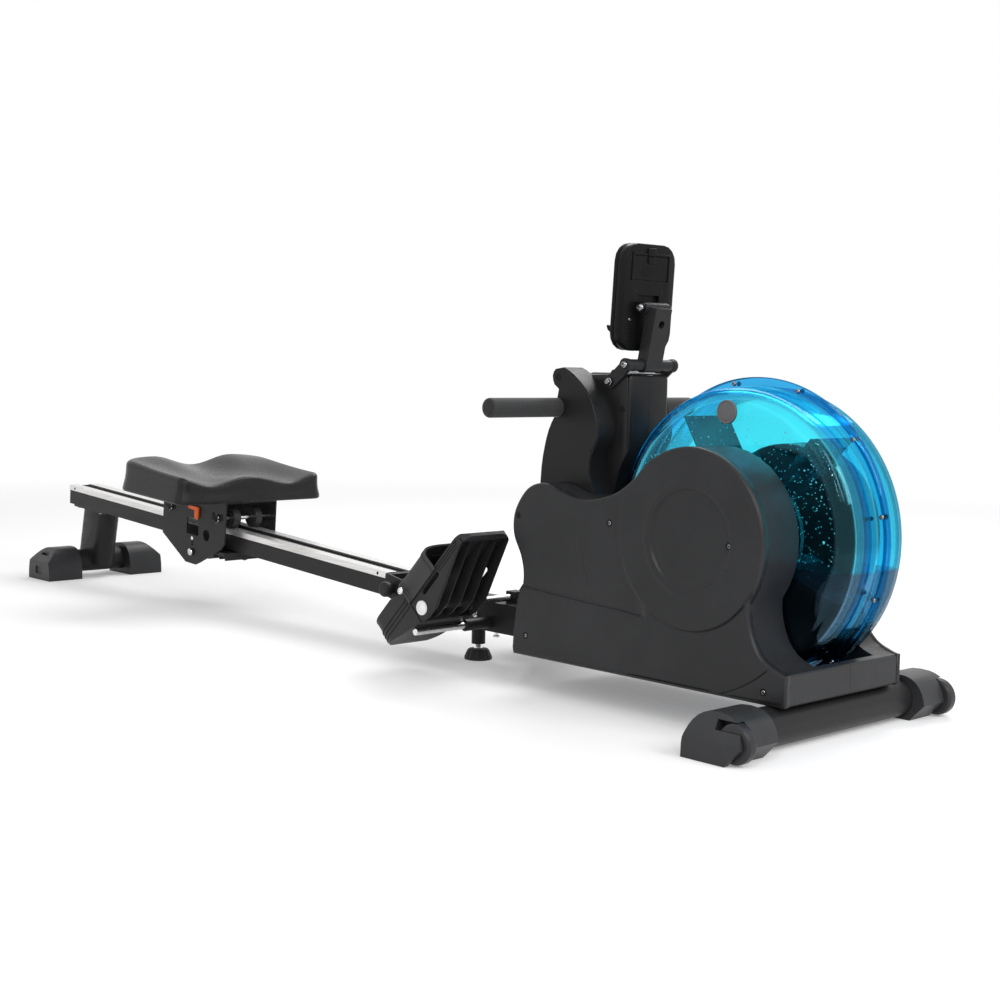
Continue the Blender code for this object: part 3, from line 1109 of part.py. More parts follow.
def rail():
    half, height, length = RAIL_HALF_WIDTH, RAIL_HEIGHT, RAIL_LENGTH
    top = -STRIP_THICKNESS - GAP
    beam = box("rail_beam", (-length, -half, -height), (0, half, top), RAIL)
    cut(beam, box("rail_hollow", (-length + RAIL_END_WALL, -half + RAIL_WALL, -height + RAIL_WALL),
                  (0.01, half - RAIL_WALL, -RAIL_ROOF), RAIL))
    cut(beam, box("rail_groove", (-length - 0.01, -GROOVE_HALF_WIDTH, top - GROOVE_DEPTH),
                  (0.01, GROOVE_HALF_WIDTH, 0.01), RAIL))
    painted(beam)
    lip_in, lip_out = half + GAP, half + GAP + STRIP_THICKNESS
    for name, side in (("rail_strip_right", -1), ("rail_strip_left", 1)):
        outline = [(side * STRIP_INNER_Y, 0), (side * lip_out, 0), (side * lip_out, -STRIP_LIP),
                   (side * lip_in, -STRIP_LIP), (side * lip_in, -STRIP_THICKNESS),
                   (side * STRIP_INNER_Y, -STRIP_THICKNESS)]
        finish(cross_slab(name, outline, -length, 0, RAIL), SILVER, 0.25, 1.0)


def rail_point(along, up):
    """A point of the rail's frame in the machine's."""
    turn = math.radians(RAIL_TILT)
    return (RAIL_FRONT_X + along * math.cos(turn) + up * math.sin(turn),
            RAIL_FRONT_Z - along * math.sin(turn) + up * math.cos(turn))


def along_rail(x, z):
    """A point of the machine's frame in the rail's."""
    turn = math.radians(RAIL_TILT)
    dx, dz = x - RAIL_FRONT_X, z - RAIL_FRONT_Z
    return dx * math.cos(turn) - dz * math.sin(turn), dx * math.sin(turn) + dz * math.cos(turn)


def hinge_fork():
    """A block on the rail's front end, with a tongue inside the rail and two plates beside the beam."""
    low, high = -RAIL_HEIGHT, -STRIP_THICKNESS - GAP
    plate_in = BEAM_HALF_WIDTH + FORK_PLATE_GAP
    plate_out = plate_in + FORK_PLATE
    fork = box("rail_hinge_fork", (GAP, -plate_out, low), (FORK_BLOCK, plate_out, high), RAIL)
    inset = RAIL_WALL + GAP
    join(fork, box("fork_tongue", (-FORK_TONGUE, -RAIL_HALF_WIDTH + inset, low + inset),
                   (FORK_BLOCK / 2, RAIL_HALF_WIDTH - inset, -RAIL_ROOF - GAP), RAIL))
    px, pz = along_rail(PIVOT_X, PIVOT_Z)
    nose = arc(px, pz, FORK_NOSE_RADIUS, -90, 90, 10)
    outline = [(2 * GAP, low), (FORK_BLOCK, low)] + nose + [(FORK_BLOCK, high), (2 * GAP, high)]
    for i, side in enumerate((-1, 1)):
        near, far = sorted((side * plate_in, side * plate_out))
        join(fork, slab(f"fork_plate_{i}", outline, near, far, RAIL))
    wide = 2 * plate_out
    cut(fork, rod("fork_pivot_hole", px, pz, -wide, wide, PIVOT_RADIUS + GAP, RAIL))
    kx, kz = along_rail(KNOB_X, KNOB_Z)
    cut(fork, rod("fork_knob_hole", kx, kz, -wide, -plate_in + 0.01, KNOB_PIN_RADIUS + GAP, RAIL, 16))
    painted(fork)
    side = plate_out + GAP
    head = side + PIVOT_HEAD
    r, big = PIVOT_RADIUS, PIVOT_HEAD_RADIUS
    chromed(turned("rail_pivot_bolt", [(0, -head), (big, -head), (big, -side), (r, -side), (r, side), (big, side),
                                       (big, head), (0, head)], PIVOT_X, PIVOT_Z, sides=16))
    tip = BEAM_HALF_WIDTH + GAP
    collar = side + KNOB_COLLAR
    end = collar + KNOB_LENGTH
    profile = [(0, -tip), (KNOB_PIN_RADIUS, -tip), (KNOB_PIN_RADIUS, -side), (KNOB_COLLAR_RADIUS, -side),
               (KNOB_COLLAR_RADIUS, -collar), (KNOB_RADIUS - 0.003, -collar), (KNOB_RADIUS, -collar - 0.003),
               (KNOB_RADIUS, -end + 0.006), (KNOB_RADIUS - 0.004, -end), (0, -end)]
    plastic(turned("fold_knob", profile, KNOB_X, KNOB_Z, sides=18))


def rear_leg():
    """The top plate, the leaning flat oval leg and the foot tube, welded."""
    leg_x, leg_z = REAR_FOOT_X, REAR_TUBE_Z
    half_tube = REAR_FOOT_WIDTH / 2 - REAR_TUBE_SHORT
    tube = rod("rear_leg", leg_x, leg_z, -half_tube, half_tube, REAR_TUBE_RADIUS, sides=24)
    top_along, _ = along_rail(LEG_TOP_X, RAIL_FRONT_Z)
    _, top_z = rail_point(top_along, -RAIL_HEIGHT - GAP - LEG_PLATE)
    lean = math.degrees(math.atan2(LEG_TOP_X - leg_x, top_z - leg_z))
    length = math.hypot(LEG_TOP_X - leg_x, top_z - leg_z)
    frame = empty("leg_frame", (leg_x, 0, leg_z), lean, MACHINE)

    def oval(name, inset, low, high):
        r = LEG_WIDTH / 2 - inset
        straight = (LEG_DEPTH - LEG_WIDTH) / 2
        outline = arc(straight, 0, r, -90, 90, 7) + arc(-straight, 0, r, 90, 270, 7)
        return plan_slab(name, outline, low, high, frame)
    leg = oval("leg_tube", 0, 0, length + 0.02)
    plate_low, plate_high = -RAIL_HEIGHT - GAP - LEG_PLATE, -RAIL_HEIGHT - GAP
    reach = LEG_DEPTH / 2 + 0.018
    above = box("above_leg", (top_along - 0.2, -0.1, (plate_low + plate_high) / 2), (top_along + 0.2, 0.1, 0.1), RAIL)
    cut(leg, above)
    hollow = oval("leg_hollow", LEG_WALL, -LEG_WALL / 2, length + 0.02)
    cut(hollow, box("above_hollow", (top_along - 0.2, -0.1, plate_low - GAP), (top_along + 0.2, 0.1, 0.1), RAIL))
    plate = box("leg_plate", (top_along - reach, -RAIL_HALF_WIDTH + 0.002, plate_low),
                (top_along + reach, RAIL_HALF_WIDTH - 0.002, plate_high), RAIL)
    join(tube, leg, plate)
    cut(tube, hollow)
    cut(tube, rod("rear_tube_bore", leg_x, leg_z, -0.2, 0.2, REAR_TUBE_RADIUS - FOOT_TUBE_WALL, sides=24))
    painted(tube)


def rear_cap(name, side):
    outer = REAR_FOOT_WIDTH / 2
    inner = outer - REAR_CAP_LENGTH
    low, high = sorted((side * inner, side * outer))
    cap = slab(name, cap_outline(REAR_CAP_HEIGHT, REAR_FOOT_X), low, high)
    corner = REAR_CAP_HEIGHT + 0.02
    start_z = REAR_CAP_HEIGHT - REAR_CAP_BEVEL
    lean = [(side * outer, start_z), (side * (outer + 0.02), start_z), (side * (outer + 0.02), corner),
            (side * (outer - REAR_CAP_BEVEL - 0.02), corner)]
    cut(cap, cross_slab(name + "_bevel", lean, REAR_FOOT_X - CAP_DEPTH, REAR_FOOT_X + CAP_DEPTH))
    end = outer - REAR_TUBE_SHORT + GAP
    cut(cap, rod(name + "_bore", REAR_FOOT_X, REAR_TUBE_Z, -end, end, REAR_TUBE_RADIUS + GAP, sides=24))
    recess = 0.003
    near, far = sorted((side * (outer - recess), side * (outer + recess)))
    cut(cap, box(name + "_recess", (REAR_FOOT_X - 0.016, near, 0.014), (REAR_FOOT_X + 0.016, far, 0.030)))
    plastic(cap)


def carriage_outline():
    c, half = CARRIAGE_CENTRE, CARRIAGE_HALF_LENGTH
    tip = CARRIAGE_TIP_HALF
    drop = CARRIAGE_CORNER_DROP
    return [(c - half, CARRIAGE_SIDE_LOW), (c - tip, CARRIAGE_TIP_LOW), (c + tip - 0.010, CARRIAGE_TIP_LOW),
            (c + tip + 0.004, CARRIAGE_TIP_LOW + 0.006), (c + half - drop, CARRIAGE_SIDE_LOW - 0.002),
            (c + half, CARRIAGE_SIDE_LOW + drop), (c + half, CARRIAGE_TOP), (c - half, CARRIAGE_TOP)]


def carriage():
    """The bent steel bracket under the seat, with its axles, rollers, guide block and lock lever."""
    inner, plate = CARRIAGE_INNER_Y, CARRIAGE_PLATE
    outer = inner + plate
    body = slab("seat_carriage", carriage_outline(), -outer, outer, RAIL)
    front, rear = CARRIAGE_CENTRE + CARRIAGE_HALF_LENGTH, CARRIAGE_CENTRE - CARRIAGE_HALF_LENGTH
    cut(body, box("carriage_inside", (rear - 0.01, -inner, CARRIAGE_TIP_LOW - 0.01),
                  (front + 0.01, inner, CARRIAGE_TOP - plate), RAIL))
    wide = 2 * outer
    axle_x = (CARRIAGE_CENTRE + AXLE_SPREAD, CARRIAGE_CENTRE - AXLE_SPREAD)
    for i, x in enumerate(axle_x):
        cut(body, rod(f"axle_hole_{i}", x, ROLLER_Z, -wide, wide, AXLE_RADIUS + GAP, RAIL, 16))
    cut(body, rod("guide_hole", WINDOW_X, GUIDE_ROLLER_Z, -wide, wide, AXLE_RADIUS + GAP, RAIL, 16))
    cut(body, box("window", (WINDOW_X - WINDOW_HALF, -wide, WINDOW_LOW), (WINDOW_X + WINDOW_HALF, wide, WINDOW_HIGH),
                  RAIL))
    cut(body, rod("port", PORT_X, PORT_Z, -wide, wide, PORT_RADIUS, RAIL))
    cut(body, rod("lever_hole", LEVER_PIVOT_X, LEVER_PIVOT_Z, -wide, 0, LEVER_PIN_RADIUS + GAP, RAIL, 12))
    painted(body)
    side = outer + GAP
    for name, x in zip(("axle_front", "axle_rear"), axle_x):
        profile = [(0, -side - AXLE_HEAD), (AXLE_HEAD_RADIUS, -side - AXLE_HEAD), (AXLE_HEAD_RADIUS, -side),
                   (AXLE_RADIUS, -side), (AXLE_RADIUS, side), (AXLE_HEAD_RADIUS, side),
                   (AXLE_HEAD_RADIUS, side + AXLE_HEAD), (0, side + AXLE_HEAD)]
        chromed(turned(name, profile, x, ROLLER_Z, RAIL, 16))
    half, r, edge = ROLLER_WIDTH / 2, ROLLER_RADIUS, 0.002
    bore = AXLE_RADIUS + GAP
    for name, x, y in (("roller_front_right", axle_x[0], -ROLLER_Y), ("roller_front_left", axle_x[0], ROLLER_Y),
                       ("roller_rear_right", axle_x[1], -ROLLER_Y), ("roller_rear_left", axle_x[1], ROLLER_Y)):
        profile = [(bore, -half), (r - edge, -half), (r, -half + edge), (r, half - edge), (r - edge, half),
                   (bore, half)]
        finish(turned(name, profile, x, ROLLER_Z, RAIL, 20, y), BLACK_RUBBER, 0.5)
    stub, end = GUIDE_ROLLER_HALF, outer + AXLE_HEAD
    r = GUIDE_ROLLER_RADIUS
    profile = [(0, -end), (AXLE_RADIUS, -end), (AXLE_RADIUS, -stub), (r - edge, -stub), (r, -stub + edge),
               (r, stub - edge), (r - edge, stub), (AXLE_RADIUS, stub), (AXLE_RADIUS, end), (0, end)]
    finish(turned("guide_roller", profile, WINDOW_X, GUIDE_ROLLER_Z, RAIL, 20), BLACK_RUBBER, 0.5)
    top = -RAIL_HEIGHT - BLOCK_TOP_GAP
    low = top - BLOCK_HEIGHT
    block = box("guide_block", (BLOCK_FRONT - BLOCK_LENGTH, -inner + GAP, low), (BLOCK_FRONT, inner - GAP, top), RAIL)
    pitch = (BLOCK_LENGTH - FIN_THICKNESS) / (FIN_COUNT - 1)
    for i in range(FIN_COUNT):
        x = BLOCK_FRONT - FIN_THICKNESS - i * pitch
        join(block, box(f"fin_{i}", (x, -inner + GAP + 0.004, low - FIN_DROP),
                        (x + FIN_THICKNESS, inner - GAP - 0.004, low + 0.002), RAIL))
    plastic(block)
    lever_outline = [(-LEVER_ARM, 0), (-LEVER_HALF, -0.001), (-LEVER_HALF, -LEVER_LEG), *arc(
        0, -LEVER_LEG, LEVER_HALF, 180, 360, 6)[1:], (LEVER_HALF, LEVER_HALF), (-LEVER_ARM, LEVER_HALF)]
    face = -outer - GAP
    lever = slab("seat_lock_lever", [(x + LEVER_PIVOT_X, z + LEVER_PIVOT_Z) for x, z in lever_outline],
                 face - LEVER_THICKNESS, face, RAIL)
    join(lever, rod("lever_pin", LEVER_PIVOT_X, LEVER_PIVOT_Z, face - LEVER_THICKNESS / 2, -inner,
                    LEVER_PIN_RADIUS, RAIL, 12))
    finish(lever, ORANGE, 0.4)


def ease(t):
    t = np.clip(t, 0, 1)
    return t * t * (3 - 2 * t)


def pad_height(x, y):
    """The pad's top surface: thigh grooves at the front, two humps at the rear and a hollow between."""
    y = np.abs(y)
    wave = 0.5 - 0.5 * np.cos(np.pi * np.minimum(y / PAD_GROOVE_Y, 1))
    outer = ease((y - PAD_GROOVE_Y) / (PAD_HALF_WIDTH - PAD_GROOVE_Y))
    front = PAD_FRONT_MIDDLE + (PAD_FRONT_GROOVE - PAD_FRONT_MIDDLE) * wave + (PAD_FRONT_EDGE - PAD_FRONT_GROOVE) * outer
    rear = PAD_REAR_MIDDLE + (PAD_REAR_HUMP - PAD_REAR_MIDDLE) * wave + (PAD_REAR_EDGE - PAD_REAR_HUMP) * outer
    t = (PAD_FRONT - x) / (PAD_FRONT - PAD_REAR)
    hollow = PAD_HOLLOW * np.sin(np.pi * np.clip(t, 0, 1)) ** 2 * np.cos(np.pi * np.clip(y / PAD_HALF_WIDTH, 0, 1) / 2)
    return front + (rear - front) * ease(t) - hollow


def pad_rim(inset):
    """The pad's plan outline, moved inwards, with round corners and even points along its straight sides."""
    front, rear, half = PAD_FRONT - inset, PAD_REAR + inset, PAD_HALF_WIDTH - inset
    big, small = PAD_REAR_CORNER - inset, PAD_FRONT_CORNER - inset
    corners = [arc(front - small, -half + small, small, -90, 0, 4), arc(front - small, half - small, small, 0, 90, 4),
               arc(rear + big, half - big, big, 90, 180, 5), arc(rear + big, -half + big, big, 180, 270, 5)]
    rim = []
    for i, between in enumerate((12, 6, 10, 6)):
        start, end = corners[i][-1], corners[(i + 1) % 4][0]
        rim += corners[i] + [tuple(q) for q in np.linspace(start, end, between + 2)[1:-1]]
    return np.array(rim)


def seat_pad():
    """Rings of points from the bottom edge, up the drawn-in wall, round the top edge and over the crown."""
    middle = np.array([(PAD_FRONT + PAD_REAR) / 2, 0])
    drawn = pad_rim(PAD_DRAW_IN)
    n = len(drawn)
    rings = [np.column_stack([pad_rim(0.003), np.full(n, PAD_BOTTOM)]),
             np.column_stack([pad_rim(0), np.full(n, PAD_BOTTOM + 0.003)])]
    for turn in (0, 45, 90):
        a = math.radians(turn)
        ring = pad_rim(PAD_DRAW_IN + PAD_ROUNDING * (1 - math.cos(a)))
        height = pad_height(ring[:, 0], ring[:, 1]) - PAD_ROUNDING * (1 - math.sin(a))
        rings.append(np.column_stack([ring, height]))
    rim = pad_rim(PAD_DRAW_IN + PAD_ROUNDING)
    for share in (0.88, 0.75, 0.60, 0.43, 0.25):
        ring = middle + (rim - middle) * share
        rings.append(np.column_stack([ring, pad_height(ring[:, 0], ring[:, 1])]))
    points = np.concatenate(rings + [[[*middle, PAD_BOTTOM]], [[*middle, float(pad_height(*middle))]]])
    last = len(rings) - 1
    faces = [(r * n + i, r * n + (i + 1) % n, (r + 1) * n + (i + 1) % n, (r + 1) * n + i)
             for r in range(last) for i in range(n)]
    faces += [((i + 1) % n, i, len(points) - 2) for i in range(n)]
    faces += [(last * n + i, last * n + (i + 1) % n, len(points) - 1) for i in range(n)]
    mesh = bpy.data.meshes.new("seat_pad")
    mesh.from_pydata(points.tolist(), [], faces)
    shape = bmesh.new()
    shape.from_mesh(mesh)
    bpy.data.meshes.remove(mesh)
    bmesh.ops.remove_doubles(shape, verts=shape.verts, dist=1e-6)
    pad = object_from_bmesh(shape, "seat_pad", RAIL, smooth=True)
    finish(pad, PAD_GREY, 0.6)


def build():
    painted(rod("front_foot_tube", 0, FOOT_TUBE_Z, -FOOT_TUBE_END_Y, FOOT_TUBE_END_Y, FOOT_TUBE_RADIUS, sides=24,
                bore=FOOT_TUBE_RADIUS - FOOT_TUBE_WALL))
    front_cap("foot_cap_right", -1)
    front_cap("foot_cap_left", 1)
    wheel("wheel_right", -1)
    wheel("wheel_left", 1)
    main_frame()
    casing_half("casing_right", -1)
    casing_half("casing_left", 1)
    column_half("column_right", -1)
    column_half("column_left", 1)
    tank_half("tank_right", -1)
    tank_half("tank_left", 1)
    impeller()
    chromed(rod("impeller_shaft", DRUM_X, DRUM_Z, SHAFT_RIGHT_Y, TANK_LEFT_Y - TANK_WALL - GAP, SHAFT_RADIUS))
    chromed(rod("shaft_bearing", DRUM_X, DRUM_Z, TANK_RIGHT_Y - BEARING_WIDTH / 2, TANK_RIGHT_Y + BEARING_WIDTH / 2,
                BEARING_RADIUS, sides=24, bore=SHAFT_RADIUS + GAP))
    spool()
    fill_plug()
    guide_pulley()
    handle()
    console_bracket()
    console_arm()
    console()
    pedal_rods()
    for side, label in ((-1, "right"), (1, "left")):
        pedal(side, label)
        heel_cup(side, label)
        foot_strap(side, label)
        rear_cap("rear_cap_" + label, side)
    leveller()
    rail()
    hinge_fork()
    rear_leg()
    carriage()
    seat_pad()


build()
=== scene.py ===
"""Looks of a water rowing machine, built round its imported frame, in metres, +Z up.

Places are written from the axis of the front foot tube, as in the model: x forwards from it, y from the
middle plane and z from the floor. The rail, the pedals and the monitor have their own tilted frames.
"""
import math

import bmesh
import bpy
import numpy as np
from mathutils import Matrix, Vector, geometry


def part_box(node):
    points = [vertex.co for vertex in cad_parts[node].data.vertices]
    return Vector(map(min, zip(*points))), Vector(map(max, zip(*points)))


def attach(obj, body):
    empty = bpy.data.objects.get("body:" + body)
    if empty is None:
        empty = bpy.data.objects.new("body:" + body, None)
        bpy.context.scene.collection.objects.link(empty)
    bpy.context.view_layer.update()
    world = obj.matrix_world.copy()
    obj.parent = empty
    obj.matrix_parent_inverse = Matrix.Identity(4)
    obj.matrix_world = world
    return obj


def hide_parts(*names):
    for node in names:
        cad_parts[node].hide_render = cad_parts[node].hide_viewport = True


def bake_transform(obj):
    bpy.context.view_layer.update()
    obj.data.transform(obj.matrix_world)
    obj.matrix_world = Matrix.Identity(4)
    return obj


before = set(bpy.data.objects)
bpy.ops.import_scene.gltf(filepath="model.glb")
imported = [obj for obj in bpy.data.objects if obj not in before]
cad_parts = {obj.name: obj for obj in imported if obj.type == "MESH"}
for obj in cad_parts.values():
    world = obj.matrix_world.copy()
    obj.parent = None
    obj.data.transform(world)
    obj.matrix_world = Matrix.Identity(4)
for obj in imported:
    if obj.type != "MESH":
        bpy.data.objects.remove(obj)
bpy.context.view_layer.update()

bl_info = {
    "name": "Water rowing machine looks",
    "version": (1, 0, 0),
    "blender": (4, 5, 0),
    "location": "3D View > Sidebar > Rower",
    "description": "Dresses the frame of a water rowing machine with fine surfaces and finishes",
    "category": "Object",
}

TUBE_LOW, TUBE_HIGH = (np.array(corner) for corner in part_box("front_foot_tube"))
ORIGIN = np.array([(TUBE_LOW[0] + TUBE_HIGH[0]) / 2, 0.0, 0.0])

# Tilted frames: the x and z of each origin and its turn about Y in degrees
RAIL = (-0.934, 0.131, 3.8)
PEDAL = (-0.635, 0.119, -46.0)
ARM = (-0.347, 0.512, 12.0)
MONITOR = (-0.34075, 0.59911, 3.5)
STRAIGHT = (0.0, 0.0, 0.0)

# Sizes of the model that the fine surfaces follow
SKIN = 0.0004
CASING_HALF = 0.134
DRUM = (-0.144, 0.270)
DRUM_RADIUS = 0.130
REAR_CURVE = ((-0.288, 0.324), (-0.345, 0.311), (-0.392, 0.318), (-0.430, 0.330), (-0.467, 0.320),
              (-0.494, 0.285), (-0.497, 0.248), (-0.480, 0.212), (-0.476, 0.180), (-0.488, 0.135))
REAR_BOTTOM = (-0.495, 0.069)
CASING_FRONT, CASING_BOTTOM, BASE_TOP = 0.029, 0.0595, 0.104
FRONT_CURVE = ((0.013, 0.108), (-0.010, 0.119), (-0.026, 0.138), (-0.036, 0.165))
LEDGE = ((-0.480, 0.1675), (-0.394, 0.161), (-0.323, 0.157), (-0.271, 0.155), (-0.216, 0.150))
TANK_Y, TANK_HALF, TANK_RADIUS, FLANGE_RADIUS = 0.012, 0.070, 0.213, 0.228
TANK_WALL, TANK_SHOULDER, FLANGE_THICK = 0.004, 0.024, 0.005
BEARING_HOLE, PLUG_ORBIT = 0.0183, 0.178
PAD = {"front": -0.480, "rear": -0.737, "half": 0.175, "bottom": 0.0573}
PEDAL_Y, PEDAL_HALF, PEDAL_BED = 0.151, 0.054, 0.030
HEEL_REAR, HEEL_CORNER = -0.126, 0.030
HANDLE = (-0.460, 0.4445)
MONITOR_BACK, MONITOR_FACE = -0.012, -0.0363
COLUMN_HALF, COLUMN_BOLT = 0.056, (-0.379, 0.486)
CARRIAGE_HALF, AXLE_UP, AXLES = 0.062, 0.0213, {"front": -0.519, "rear": -0.698}
GUIDE = (-0.610, -0.0623)
WHEEL, WHEEL_Y = (0.030, 0.029), 0.237
LEVELLER_X = -0.725
SIDES = ((-1, "right"), (1, "left"))


# ---------------------------------------------------------------- places and outlines

def placed(points, tilt=STRAIGHT):
    """Points of a tilted frame in the machine's: each is turned about Y and moved to the frame's origin."""
    p = np.asarray(points, float)
    x, z, turn = tilt
    c, s = math.cos(math.radians(turn)), math.sin(math.radians(turn))
    return np.stack([x + p[..., 0] * c + p[..., 2] * s, p[..., 1], z - p[..., 0] * s + p[..., 2] * c],
                    axis=-1) + ORIGIN


def unit(vectors):
    """Vectors brought to the length of one."""
    return vectors / np.linalg.norm(vectors, axis=-1, keepdims=True)


def circle(e, f, steps):
    """Points on the unit circles in the planes of pairs of vectors: cos t e + sin t f."""
    t = np.linspace(0, 2 * math.pi, steps, endpoint=False)[:, None]
    return np.cos(t) * e[..., None, :] + np.sin(t) * f[..., None, :]


def arc(x, z, radius, start, end, steps):
    """Points on a circle between two angles in degrees, both ends included."""
    a = np.radians(np.linspace(start, end, steps + 1))
    return np.stack([x + radius * np.cos(a), z + radius * np.sin(a)], axis=1)


def smooth_through(points, per_span):
    """A Catmull-Rom curve through points, without its first and last one."""
    p = np.array(points, float)
    t = np.linspace(0, 1, per_span, endpoint=False)[None, :, None]
    a, b, c, d = (q[:, None] for q in (p[:-3], p[1:-2], p[2:-1], p[3:]))
    spans = 0.5 * (2 * b + (c - a) * t + (2 * a - 5 * b + 4 * c - d) * t**2 + (3 * b - a - 3 * c + d) * t**3)
    return np.concatenate([spans.reshape(-1, 2), p[-2:-1]])


def grown(outline, distance):
    """A closed outline with each point moved out along the mean of its two sides' normals."""
    p = np.asarray(outline, float)
    ahead = unit(np.roll(p, -1, axis=0) - p)
    behind = np.roll(ahead, 1, axis=0)
    normal = np.stack([ahead[:, 1] + behind[:, 1], -ahead[:, 0] - behind[:, 0]], axis=1)
    area = (p[:, 0] * np.roll(p[:, 1], -1) - p[:, 1] * np.roll(p[:, 0], -1)).sum()
    return p + normal * (2 * distance / (normal**2).sum(axis=1)[:, None] * (1 if area > 0 else -1))


def round_corners(outline, radius, steps=5, closed=True):
    """An outline whose corners are replaced by parabolas that start a radius before each corner."""
    p = np.asarray(outline, float)
    before, after = np.roll(p, 1, axis=0) - p, np.roll(p, -1, axis=0) - p
    reach = np.minimum(radius, 0.42 * np.minimum(np.linalg.norm(before, axis=1), np.linalg.norm(after, axis=1)))
    start, end = (p + unit(way) * reach[:, None] for way in (before, after))
    t = np.linspace(0, 1, steps + 1)[None, :, None]
    curves = (1 - t)**2 * start[:, None] + 2 * t * (1 - t) * p[:, None] + t**2 * end[:, None]
    if closed:
        return curves.reshape(-1, 2)
    return np.concatenate([p[:1], curves[1:-1].reshape(-1, 2), p[-1:]])


def rectangle(x_low, x_high, z_low, z_high, radius=0.0, steps=5):
    """Four corners, rounded where a radius is given."""
    corners = [(x_low, z_low), (x_high, z_low), (x_high, z_high), (x_low, z_high)]
    return round_corners(corners, radius, steps) if radius else np.array(corners)


def ease(t):
    """0 below 0, 1 above 1, and a smooth cubic between."""
    t = np.clip(t, 0, 1)
    return t * t * (3 - 2 * t)


# ---------------------------------------------------------------- meshes

